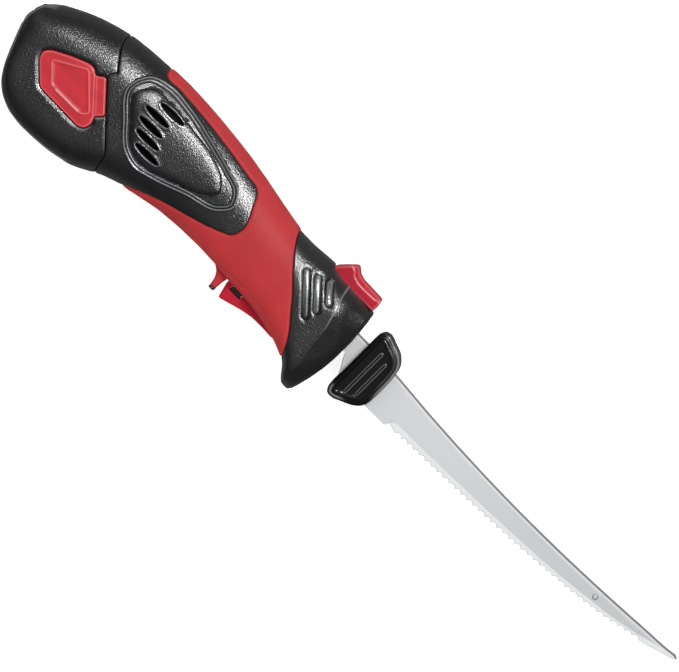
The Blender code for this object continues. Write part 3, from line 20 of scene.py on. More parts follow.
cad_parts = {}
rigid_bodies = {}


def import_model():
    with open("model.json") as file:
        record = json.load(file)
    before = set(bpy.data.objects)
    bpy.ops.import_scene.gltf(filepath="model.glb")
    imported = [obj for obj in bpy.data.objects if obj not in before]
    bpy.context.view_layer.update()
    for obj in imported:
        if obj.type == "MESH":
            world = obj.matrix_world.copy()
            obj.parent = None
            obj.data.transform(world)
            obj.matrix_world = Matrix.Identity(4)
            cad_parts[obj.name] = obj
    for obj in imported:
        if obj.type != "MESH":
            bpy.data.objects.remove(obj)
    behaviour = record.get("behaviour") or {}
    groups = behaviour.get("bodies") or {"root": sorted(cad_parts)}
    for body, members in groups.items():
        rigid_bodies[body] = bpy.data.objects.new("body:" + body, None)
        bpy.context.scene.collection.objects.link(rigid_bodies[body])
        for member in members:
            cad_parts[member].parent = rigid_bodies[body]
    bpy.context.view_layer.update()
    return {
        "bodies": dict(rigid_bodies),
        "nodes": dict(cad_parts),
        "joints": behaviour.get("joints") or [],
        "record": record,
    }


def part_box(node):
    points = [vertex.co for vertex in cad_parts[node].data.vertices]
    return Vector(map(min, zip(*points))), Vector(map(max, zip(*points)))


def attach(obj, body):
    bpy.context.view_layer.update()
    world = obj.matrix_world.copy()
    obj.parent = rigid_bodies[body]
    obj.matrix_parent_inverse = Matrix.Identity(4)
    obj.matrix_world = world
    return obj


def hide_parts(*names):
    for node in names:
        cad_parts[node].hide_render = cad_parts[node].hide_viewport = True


LOG = logging.getLogger("fillet_knife")
MM = 0.001
FAR = 90.0                      # past the outline of the body on every side
ROD_SIDES = 48
TURNED_SIDES = 32

Point = tuple[float, float]
Line = tuple[Point, ...]
Place = tuple[float, float, float]
Colour = tuple[float, float, float]
Part = bpy.types.Object
Array = np.ndarray
Height = Callable[[Array, Array], Array]            # of x and y
Relief = Callable[[Array, Array, Array], Array]     # of x, y and how far out the form stands
Contours = Sequence[tuple["Outline", Sequence[float]]]


class Side(Enum):
    """The two flanks, with the sign of their Z."""

    RIGHT = 1.0
    LEFT = -1.0

    @property
    def word(self) -> str:
        """The flank's name in the names of its pieces."""
        return self.name.lower()


# Shader maths

class Socket:
    """An output socket whose arithmetic adds Math nodes to its tree."""

    def __init__(self, tree: "Shader", link: bpy.types.NodeSocket) -> None:
        """Keep the tree and the socket."""
        self.tree = tree
        self.link = link

    def _maths(self, operation: str, *values: "Socket | float") -> "Socket":
        """Add one Math node.

        Args:
            operation: The node's operation.
            values: Its inputs in order.

        Returns:
            The node's result.
        """
        inputs = dict(enumerate(values))
        return self.tree.node("ShaderNodeMath", {"operation": operation}, inputs)

    def __add__(self, other: "Socket | float") -> "Socket":
        """Sum with a socket or a number."""
        return self._maths("ADD", self, other)

    def __sub__(self, other: "Socket | float") -> "Socket":
        """Difference from a socket or a number."""
        return self._maths("SUBTRACT", self, other)

    def __rsub__(self, other: float) -> "Socket":
        """A number less this socket."""
        return self._maths("SUBTRACT", other, self)

    def __mul__(self, other: "Socket | float") -> "Socket":
        """Product with a socket or a number."""
        return self._maths("MULTIPLY", self, other)

    __radd__ = __add__
    __rmul__ = __mul__

    def clipped(self) -> "Socket":
        """This socket kept between 0 and 1."""
        return self._maths("MINIMUM", self._maths("MAXIMUM", self, 0.0), 1.0)


class Shader:
    """Builds a tree of nodes around the shader that it ends in, of a material by default."""

    holder = "materials"
    ends_in = "Principled BSDF"
    coordinates = "Object"

    def __init__(self, name: str) -> None:
        """Start an empty tree with its shader and coordinates.

        Args:
            name: Name of the material or world.
        """
        self.material = getattr(bpy.data, self.holder).new(name)
        self.material.use_nodes = True
        self.nodes = self.material.node_tree.nodes
        self.surface = self.nodes[self.ends_in]
        self.place = Socket(self, self.nodes.new("ShaderNodeTexCoord").outputs[self.coordinates])

    def node(self, kind: str, settings: dict[str, object],
             inputs: dict[int | str, object], output: int | str = 0) -> Socket:
        """Add one node.

        Args:
            kind: The node's type.
            settings: Its own settings, set before the inputs.
            inputs: Values or links by input name or index.
            output: The output that is wanted.

        Returns:
            That output.
        """
        made = self.nodes.new(kind)
        for key, value in settings.items():
            setattr(made, key, value)
        for key, value in inputs.items():
            self.feed(made.inputs[key], value)
        return Socket(self, made.outputs[output])

    def feed(self, target: bpy.types.NodeSocket, value: object) -> None:
        """Link a socket to an input, or set its value.

        Args:
            target: The input.
            value: The socket or the value.
        """
        if isinstance(value, Socket):
            self.material.node_tree.links.new(value.link, target)
        else:
            target.default_value = value

    def noise(self, size: float, detail: float = 3.0,
              stretch: Sequence[float] = (1.0, 1.0, 1.0)) -> Socket:
        """Noise with features of a given size.

        Args:
            size: Size of the features in millimetres.
            detail: Levels of finer noise.
            stretch: How much longer the features are along each axis.

        Returns:
            The noise between 0 and 1.
        """
        scale = tuple(1.0 / (size * MM * s) for s in stretch)
        moved = self.node("ShaderNodeMapping", {}, {"Vector": self.place, "Scale": scale})
        return self.node("ShaderNodeTexNoise", {},
                         {"Vector": moved, "Scale": 1.0, "Detail": detail}, "Fac")

    def cells(self, size: float) -> Socket:
        """Distance to the nearest cell centre of a pebble pattern of that size."""
        return self.node("ShaderNodeTexVoronoi", {"feature": "F1"},
                         {"Vector": self.place, "Scale": 1.0 / (size * MM)}, "Distance")

    def ramp(self, value: Socket, low: float, high: float) -> Socket:
        """0 below low, 1 above high and smooth between."""
        return self.node("ShaderNodeMapRange", {"interpolation_type": "SMOOTHSTEP"},
                         {"Value": value, "From Min": low, "From Max": high}, "Result")

    def mix(self, share: Socket, first: Sequence[float] | Socket,
            second: Sequence[float] | Socket) -> Socket:
        """Colour between two colours."""
        return self.node("ShaderNodeMix", {"data_type": "RGBA"},
                         {"Factor": share, 6: first, 7: second}, 2)

    def stored(self, name: str) -> Socket:
        """Value that a mesh keeps at its points under that name."""
        return self.node("ShaderNodeAttribute", {"attribute_name": name}, {}, "Fac")

    def edges(self, radius: float) -> Socket:
        """How far a point lies on a convex edge, from the surface's own curvature: for worn edges
        and for painted edge highlights.
        """
        point = self.node("ShaderNodeNewGeometry", {}, {}, "Pointiness")
        return self.ramp(point, 0.5 + radius, 0.5 + 3.0 * radius)

    def bump(self, height: Socket, depth: float) -> Socket:
        """Normal bent by a height, of which 1 stands for a depth in millimetres."""
        return self.node("ShaderNodeBump", {}, {"Height": height, "Distance": depth * MM,
                                                "Strength": 1.0}, "Normal")

    def done(self, **sockets: object) -> None:
        """Feed the shader's inputs; an underscore in their names stands for a blank."""
        for name, value in sockets.items():
            self.feed(self.surface.inputs[name.replace("_", " ")], value)


class Sky(Shader):
    """Builds the world's light, with directions for coordinates."""

    holder = "worlds"
    ends_in = "Background"
    coordinates = "Generated"


@dataclass(frozen=True)
class Finish:
    """A finish of one colour family; its subclasses say how the surface varies."""

    name: str
    colour: Colour
    roughness: float

    def rgba(self, gain: float = 1.0) -> tuple[float, float, float, float]:
        """The colour, lighter or darker by gain."""
        return (*(min(1.0, c * gain) for c in self.colour), 1.0)

    def dress(self, shader: Shader) -> None:
        """Fill the shader in."""
        raise NotImplementedError

    def material(self) -> bpy.types.Material:
        """The finish's material, made once.

        Returns:
            The material.
        """
        found = bpy.data.materials.get(self.name)
        if found:
            return found
        shader = Shader(self.name)
        self.dress(shader)
        return shader.material


@dataclass(frozen=True)
class TexturedPlastic(Finish):
    """Moulded plastic with a spark-eroded grain and rubbed, lighter edges."""

    grain: float = 0.84
    depth: float = 0.175
    gloss: float = 0.72
    # colour of the painted highlight on the rims that a piece marks
    lit: Colour = (0.22, 0.225, 0.235)

    def dress(self, shader: Shader) -> None:
        """Grain that breaks the light up, a faint mottling and painted highlights on the marked
        rims.

        Args:
            shader: The shader to fill in.
        """
        # painted highlight: where a piece marks its rims, the colour goes lighter and the grain
        # is left off
        rim = shader.stored("rim").clipped()
        pits = shader.cells(self.grain)
        fine = shader.noise(self.grain * 0.6, 4.0)
        broad = shader.noise(26.0, 3.0)
        worn = shader.noise(3.0, 4.0) * shader.edges(0.02)
        grain = (pits * 0.6 + fine * 0.7) * (1 - rim)
        tone = shader.mix(shader.ramp(broad, 0.35, 0.7), self.rgba(0.85), self.rgba(1.2))
        colour = shader.mix((worn * 0.8).clipped(), tone, self.rgba(3.2))
        colour = shader.mix(rim, colour, (*self.lit, 1.0))
        roughness = (self.roughness + (broad - 0.5) * 0.12 + fine * 0.08).clipped()
        shader.done(Base_Color=colour, Roughness=roughness, Specular_IOR_Level=self.gloss,
                    Normal=shader.bump(grain, self.depth))


@dataclass(frozen=True)
class SoftTouch(Finish):
    """Thermoplastic elastomer with a dull bloom and a very fine skin."""

    gloss: float = 0.1

    def dress(self, shader: Shader) -> None:
        """Powdery bloom over an even colour, with a painted highlight on its convex edges.

        Args:
            shader: The shader to fill in.
        """
        bloom = shader.noise(34.0, 3.0)
        skin = shader.noise(0.5, 3.0)
        specks = shader.ramp(shader.noise(1.1, 5.0), 0.62, 0.75)
        tone = shader.mix(shader.ramp(bloom, 0.3, 0.72), self.rgba(0.9), self.rgba(1.08))
        colour = shader.mix(specks * 0.18, tone, self.rgba(1.35))
        # painted highlight: convex edges are painted lighter
        lit = shader.mix(shader.edges(0.02) * 0.25, colour, self.rgba(1.6))
        roughness = (self.roughness + (bloom - 0.5) * 0.14 + skin * 0.06).clipped()
        shader.done(Base_Color=lit, Roughness=roughness, Specular_IOR_Level=self.gloss,
                    Normal=shader.bump(skin, 0.012))


@dataclass(frozen=True)
class GlossPlastic(Finish):
    """Smooth moulded plastic with flow marks and fine handling scratches."""

    coat: float = 0.35
    # colour of the painted highlight on the rims that a piece marks
    lit: Colour = (0.80, 0.27, 0.28)
    gloss: float = 0.2
    coat_roughness: float = 0.28

    def dress(self, shader: Shader) -> None:
        """Long flow marks, hairline scratches and painted highlights on the convex edges and the
        marked rims.

        Args:
            shader: The shader to fill in.
        """
        flow = shader.noise(9.0, 2.0, stretch=(3.0, 1.0, 1.0))
        hair = shader.noise(0.25, 2.0, stretch=(40.0, 1.0, 1.0))
        scratch = shader.ramp(hair, 0.66, 0.74)
        tone = shader.mix(shader.ramp(flow, 0.3, 0.7), self.rgba(0.92), self.rgba(1.08))
        # painted highlight: convex edges are painted lighter
        colour = shader.mix(shader.edges(0.02) * 0.4, tone, self.rgba(1.5))
        # painted highlight: the marked rims take the lit colour
        colour = shader.mix(shader.stored("rim").clipped(), colour, (*self.lit, 1.0))
        roughness = (self.roughness + scratch * 0.12 + (flow - 0.5) * 0.05).clipped()
        height = flow * 0.7 + shader.noise(0.6, 2.0) * 0.3
        shader.done(Base_Color=colour, Roughness=roughness, Specular_IOR_Level=self.gloss,
                    Coat_Weight=self.coat, Coat_Roughness=self.coat_roughness,
                    Normal=shader.bump(height, 0.02))


@dataclass(frozen=True)
class GroundSteel(Finish):
    """Rolled blade steel with a brighter ground bevel, and painted shade along its back and
    towards its tip.
    """

    bevel: float = 1.38
    stain: float = 0.04
    metal: float = 0.1          # the rest is a dull, scattering skin
    # painted shade: the steel is painted darker towards the tip, standing in for a darker
    # reflection there
    tip_shade: float = 0.15        # how much darker the steel is at the tip
    root: float = 30.0          # from where it gets darker
    tip: float = 230.0          # and to where
    # painted shade: the colour painted along the blade's back
    rolled: Colour = (0.05, 0.052, 0.055)
    gloss: float = 0.3

    def dress(self, shader: Shader) -> None:
        """Fine lines along the blade, cross marks on the bevel, cloudy stains.

        Args:
            shader: The shader to fill in.
        """
        lines = shader.noise(0.16, 3.0, stretch=(60.0, 1.0, 1.0))
        broad = shader.noise(0.9, 3.0, stretch=(60.0, 1.0, 1.0))
        across = shader.noise(0.14, 3.0, stretch=(1.0, 30.0, 1.0))
        cloud = shader.noise(17.0, 4.0)
        ground = shader.stored("ground").clipped()
        tone = shader.mix((lines * 0.6 + broad * 0.4).clipped(), self.rgba(0.93),
                          self.rgba(1.05))
        tone = shader.mix(shader.ramp(cloud, 0.5, 0.8) * self.stain, tone,
                          (0.42, 0.40, 0.37, 1.0))
        cut = shader.mix(across, self.rgba(self.bevel * 0.94), self.rgba(self.bevel))
        along = shader.node("ShaderNodeSeparateXYZ", {}, {"Vector": shader.place}, "X")
        # painted shade towards the tip
        tone = shader.mix(shader.ramp(along, self.root * MM, self.tip * MM) * self.tip_shade, tone,
                          (0.0, 0.0, 0.0, 1.0))
        colour = shader.mix(ground, tone, cut)
        # painted shade along the back
        colour = shader.mix(shader.stored("rolled") * 0.74, colour, (*self.rolled, 1.0))
        # painted reflection: a fixed tone along the edge and the teeth, darker than the bevel
        colour = shader.mix(shader.stored("cut"), colour, self.rgba(1.1))
        marks = lines + (across - lines) * ground
        roughness = (self.roughness + (marks - 0.5) * 0.2 + (cloud - 0.5) * 0.08).clipped()
        shader.done(Base_Color=colour, Roughness=roughness, Metallic=self.metal - ground * 0.08,
                    Specular_IOR_Level=self.gloss, Normal=shader.bump(marks, 0.003))


@dataclass(frozen=True)
class TurnedMetal(Finish):
    """Turned or drawn metal parts: brass, shafts, springs and screws."""

    def dress(self, shader: Shader) -> None:
        """Tool marks and a dull film.

        Args:
            shader: The shader to fill in.
        """
        marks = shader.noise(0.3, 3.0, stretch=(1.0, 1.0, 12.0))
        film = shader.noise(4.0, 4.0)
        colour = shader.mix(shader.ramp(film, 0.35, 0.75), self.rgba(), self.rgba(0.72))
        roughness = (self.roughness + film * 0.2 + marks * 0.1).clipped()
        shader.done(Base_Color=colour, Roughness=roughness, Metallic=1.0,
                    Normal=shader.bump(marks, 0.006))


@dataclass(frozen=True)
class PlainMoulding(Finish):
    """Inner parts of nylon, shrink sleeve or coated board."""

    def dress(self, shader: Shader) -> None:
        """Slight waviness and a tint that shifts.

        Args:
            shader: The shader to fill in.
        """
        wave = shader.noise(6.0, 3.0)
        fine = shader.noise(0.7, 3.0)
        colour = shader.mix(wave, self.rgba(0.88), self.rgba(1.08))
        roughness = (self.roughness + (fine - 0.5) * 0.16).clipped()
        shader.done(Base_Color=colour, Roughness=roughness, Normal=shader.bump(wave, 0.03))


HOUSING = TexturedPlastic("black_textured_housing", (0.0048, 0.0051, 0.006), 0.26)
SCREEN = TexturedPlastic("dust_screen", (0.006, 0.006, 0.006), 0.8, 0.5, 0.1, 0.05)
GRIP = SoftTouch("red_soft_touch", (0.44, 0.032, 0.036), 0.54)
BUTTON = GlossPlastic("red_button_plastic", (0.43, 0.006, 0.024), 0.38, 0.08)
LATCH = GlossPlastic("red_latch_plastic", (0.50, 0.022, 0.033), 0.45, 0.08)
# the black grip's last colour is that of its painted highlights
BLADE_GRIP = GlossPlastic("black_gloss_grip", (0.004, 0.004, 0.0045), 0.26, 0.1,
                          (0.25, 0.255, 0.26))
BLADE = GroundSteel("rolled_blade_steel", (0.54, 0.55, 0.56), 0.6)
STEEL = TurnedMetal("turned_steel", (0.56, 0.57, 0.58), 0.3)
SCREW = TurnedMetal("blackened_screw", (0.16, 0.16, 0.17), 0.36)
SPRING = TurnedMetal("drawn_spring_wire", (0.50, 0.51, 0.53), 0.28)
BRASS = TurnedMetal("machined_brass", (0.72, 0.52, 0.22), 0.28)
CAST = TurnedMetal("cast_alloy", (0.48, 0.49, 0.51), 0.42)
NYLON = PlainMoulding("gear_nylon", (0.80, 0.78, 0.70), 0.46)
SLEEVE = PlainMoulding("cell_sleeve", (0.04, 0.15, 0.42), 0.32)
BOARD = PlainMoulding("circuit_board", (0.02, 0.17, 0.08), 0.4)


# Outlines

def unit_round(distance: Array, width: float) -> Array:
    """Quarter-round rise from 0 to 1 over a width."""
    share = np.clip(distance / width, 0.0, 1.0)
    return np.sqrt(np.clip(1.0 - (1.0 - share) ** 2, 0.0, 1.0))


def ridge(distance: Array, middle: float, width: float) -> Array:
    """Round-topped ridge of unit height about a distance from an outline."""
    return np.clip(1.0 - ((distance - middle) / (width / 2.0)) ** 2, 0.0, 1.0)


def soft_step(distance: Array, low: float, high: float) -> Array:
    """Smooth rise from 0 at low to 1 at high."""
    share = np.clip((distance - low) / (high - low), 0.0, 1.0)
    return share * share * (3.0 - 2.0 * share)


@dataclass
class Outline:
    """A line on the flank through given points, rounded between them."""

    points: Sequence[Point]
    closed: bool = True
    spacing: float = 0.7
    rounded: bool = True
    fillet: float = 0.0         # radius at the corners of an outline of straight runs
    line: Array = field(init=False)

    def _filleted(self, corners: list[Array]) -> list[Array]:
        """Turn each corner into a short curve of the fillet's size.

        Args:
            corners: The corners.

        Returns:
            The curves' points.
        """
        arcs: list[Array] = []
        count = len(corners)
        for k, corner in enumerate(corners):
            if not self.closed and k in (0, count - 1):
                arcs.append(corner)
                continue
            back, ahead = corners[k - 1] - corner, corners[(k + 1) % count] - corner
            reach = [min(self.fillet, 0.45 * float(np.linalg.norm(run)))
                     / max(float(np.linalg.norm(run)), 1e-6) for run in (back, ahead)]
            start, end = corner + back * reach[0], corner + ahead * reach[1]
            for share in np.linspace(0.0, 1.0, 6):
                arcs.append(start * (1 - share) ** 2 + corner * 2 * share * (1 - share)
                            + end * share ** 2)
        return arcs

    def __post_init__(self) -> None:
        """Work the dense line out."""
        corners = [np.array(point, dtype=float) for point in self.points]
        if self.fillet:
            corners = self._filleted(corners)
            self.rounded = False
        count = len(corners)
        last = count if self.closed else count - 1
        dense: list[Array] = []
        for k in range(last):
            here, after = corners[k], corners[(k + 1) % count]
            before = corners[k - 1] if self.closed or k else 2 * here - after
            beyond = (corners[(k + 2) % count] if self.closed or k + 2 < count
                      else 2 * after - here)
            steps = max(1, round(float(np.linalg.norm(after - here)) / self.spacing))
            for step in range(steps):
                dense.append(self._between(before, here, after, beyond, step / steps))
        if not self.closed:
            dense.append(corners[-1])
        self.line = np.array(dense)

    @staticmethod
    def _slope(before: Array, here: Array, after: Array) -> Array:
        """Direction of the line at a corner, leaning to the shorter run beside it.

        Args:
            before: The corner before.
            here: The corner.
            after: The corner after.

        Returns:
            The direction.
        """
        back = max(float(np.linalg.norm(here - before)), 0.01)
        ahead = max(float(np.linalg.norm(after - here)), 0.01)
        return ((after - here) / ahead * back + (here - before) / back * ahead) / (back + ahead)

    def _between(self, before: Array, here: Array, after: Array, beyond: Array,
                 share: float) -> Array:
        """Point between two corners.

        Args:
            before: The corner before the run.
            here: The run's first corner.
            after: The run's last corner.
            beyond: The corner after the run.
            share: How far along the run, from 0 to 1.

        Returns:
            The point, on a straight run or on a cubic that keeps the corners' slopes.
        """
        if not self.rounded:
            return here + (after - here) * share
        length = float(np.linalg.norm(after - here))
        first = self._slope(before, here, after) * length
        last = self._slope(here, after, beyond) * length
        return (here * (1 + 2 * share) * (1 - share) ** 2 + first * share * (1 - share) ** 2
                + after * share * share * (3 - 2 * share) - last * share * share * (1 - share))

    def distance(self, x: Array, y: Array) -> Array:
        """Distance of points from the line.

        Args:
            x: The points' x.
            y: Their y.

        Returns:
            The distance, negative inside a closed line or to the left of an open one.
        """
        first = self.line
        last = np.roll(first, -1, axis=0)
        if not self.closed:
            first, last = first[:-1], last[:-1]
        best = np.full(x.shape, np.inf)
        sign = np.ones(x.shape)
        crossings = np.zeros(x.shape, dtype=int)
        for (ax, ay), (bx, by) in zip(first, last):
            dx, dy = bx - ax, by - ay
            share = np.clip(((x - ax) * dx + (y - ay) * dy) / (dx * dx + dy * dy), 0.0, 1.0)
            gap = np.hypot(x - ax - share * dx, y - ay - share * dy)
            nearer = gap < best
            best = np.where(nearer, gap, best)
            if self.closed:
                spans = (ay > y) != (by > y)
                if dy:
                    crossings += spans & (x < ax + (y - ay) * dx / dy)
            else:
                left = dx * (y - ay) - dy * (x - ax) > 0
                sign = np.where(nearer, np.where(left, -1.0, 1.0), sign)
        if self.closed:
            sign = np.where(crossings % 2 == 1, -1.0, 1.0)
        return best * sign

    def below(self, x: Array, y: Array) -> Array:
        """How far the line faces down beside points, from -1 to 1."""
        step = 0.3
        return (self.distance(x, y - step) - self.distance(x, y + step)) / (2 * step)

    def moved(self, distance: float) -> Array:
        """The line moved sideways.

        Args:
            distance: How far, outwards or to the right where it is positive.

        Returns:
            The moved line, without the points that came too close to the first one.
        """
        before = np.roll(self.line, 1, axis=0)
        after = np.roll(self.line, -1, axis=0)
        if not self.closed:
            before[0], after[-1] = self.line[0], self.line[-1]
        run = after - before
        run /= np.maximum(np.linalg.norm(run, axis=1, keepdims=True), 1e-9)
        right = np.stack((run[:, 1], -run[:, 0]), axis=1)
        if self.closed:
            x, y = self.line.T
            area = float(np.sum(x * np.roll(y, -1) - np.roll(x, -1) * y))
            right *= math.copysign(1.0, area)
        placed = self.line + right * distance
        kept = np.abs(self.distance(*placed.T)) > abs(distance) * 0.9 - 0.01
        return placed[kept]

    def run(self, offset: float) -> Array:
        """The line at an offset, back to its first point where it is closed."""
        line = self.moved(offset) if offset else self.line
        return np.concatenate((line, line[:1])) if self.closed else line

    def spread(self, pitch: float) -> tuple[Array, Array]:
        """Even points over the box round the line.

        Args:
            pitch: Their distance along x and y.

        Returns:
            Their x and y.
        """
        low, high = self.line.min(axis=0), self.line.max(axis=0)
        x, y = np.meshgrid(np.arange(low[0], high[0], pitch), np.arange(low[1], high[1], pitch))
        return x.ravel(), y.ravel()


def runs(contours: Contours) -> list[Array]:
    """The lines of all contours, each at all its offsets."""
    return [outline.run(offset) for outline, offsets in contours for offset in offsets]


def clear_of(contours: Contours, x: Array, y: Array, gap: float) -> Array:
    """Whether points keep a gap to the contours.

    Args:
        contours: The outlines with their offsets.
        x: The points' x.
        y: Their y.
        gap: The gap.

    Returns:
        Whether each does.
    """
    keep = np.ones(len(x), dtype=bool)
    for outline, offsets in contours:
        away = outline.distance(x, y)
        for offset in offsets:
            keep &= np.abs(away - offset) > gap
    return keep


def triangulated(loose: Array, lines: Iterable[Array]) -> tuple[Array, Array]:
    """Triangles between loose points that keep to lines.

    Args:
        loose: The loose points.
        lines: The lines.

    Returns:
        All points, and the numbers of each triangle's corners.
    """
    points = [Vector(p) for p in loose]
    edges: list[tuple[int, int]] = []
    for line in lines:
        first = len(points)
        points += [Vector(p) for p in line]
        edges += [(k, k + 1) for k in range(first, len(points) - 1)]
    flat, _, faces, *_ = delaunay_2d_cdt(points, edges, [], 0, 1e-3)
    return np.array([tuple(p) for p in flat]), np.array(faces)


def packed(points: Array, faces: Array) -> tuple[Array, Array]:
    """Only the points that faces use, and the faces by their new numbers."""
    used, numbers = np.unique(faces, return_inverse=True)
    return points[used], numbers.reshape(faces.shape)


def level(height: float) -> Height:
    """A flat face at a height."""
    return lambda x, y: np.full_like(x, height)


# The outer form

Station = tuple[float, float, float, float, float]

STATIONS: tuple[Station, ...] = (
    (-249.0, 8.0, 1.0, 12.0, 2.6),
    (-246.0, 16.0, -7.2, 18.2, 3.0),
    (-243.0, 18.3, -14.5, 20.4, 3.2),
    (-239.0, 20.7, -24.8, 22.2, 3.5),
    (-234.0, 23.3, -32.2, 23.6, 3.8),
    (-228.0, 26.4, -37.0, 24.3, 4.0),
    (-220.0, 29.8, -40.6, 24.4, 4.0),
    (-210.0, 33.0, -42.1, 24.4, 4.0),
    (-200.0, 35.4, -41.9, 24.4, 4.0),
    (-190.0, 36.6, -41.2, 24.3, 3.8),
    (-180.0, 37.3, -39.4, 23.9, 3.6),
    (-171.0, 37.8, -35.6, 23.3, 3.4),
    (-160.0, 38.1, -29.6, 22.6, 3.2),
    (-150.0, 37.7, -26.1, 22.0, 3.1),
    (-140.0, 37.1, -23.8, 21.6, 3.0),
    (-125.0, 35.7, -20.8, 21.2, 3.0),
    (-110.0, 33.9, -19.5, 20.8, 3.0),
    (-95.0, 31.3, -19.2, 20.5, 3.0),
    (-80.0, 28.3, -19.8, 20.3, 3.0),
    (-70.0, 26.4, -21.2, 20.3, 3.0),
    (-60.0, 24.9, -21.3, 20.5, 3.0),
    (-50.0, 24.9, -22.2, 20.9, 3.1),
    (-40.0, 25.8, -24.2, 21.7, 3.3),
    (-35.5, 25.9, -25.2, 22.2, 3.4),
    (-31.0, 24.4, -26.2, 22.9, 3.5),
    (-25.0, 23.9, -28.4, 23.9, 3.8),
    (-19.0, 23.7, -31.5, 24.4, 4.0),
    (-15.5, 23.6, -36.6, 24.2, 4.0),
    (-12.5, 23.4, -40.4, 23.0, 3.8),
    (-7.0, 23.0, -41.0, 20.6, 3.4),
    (1.0, 22.4, -41.0, 17.0, 3.0),
)


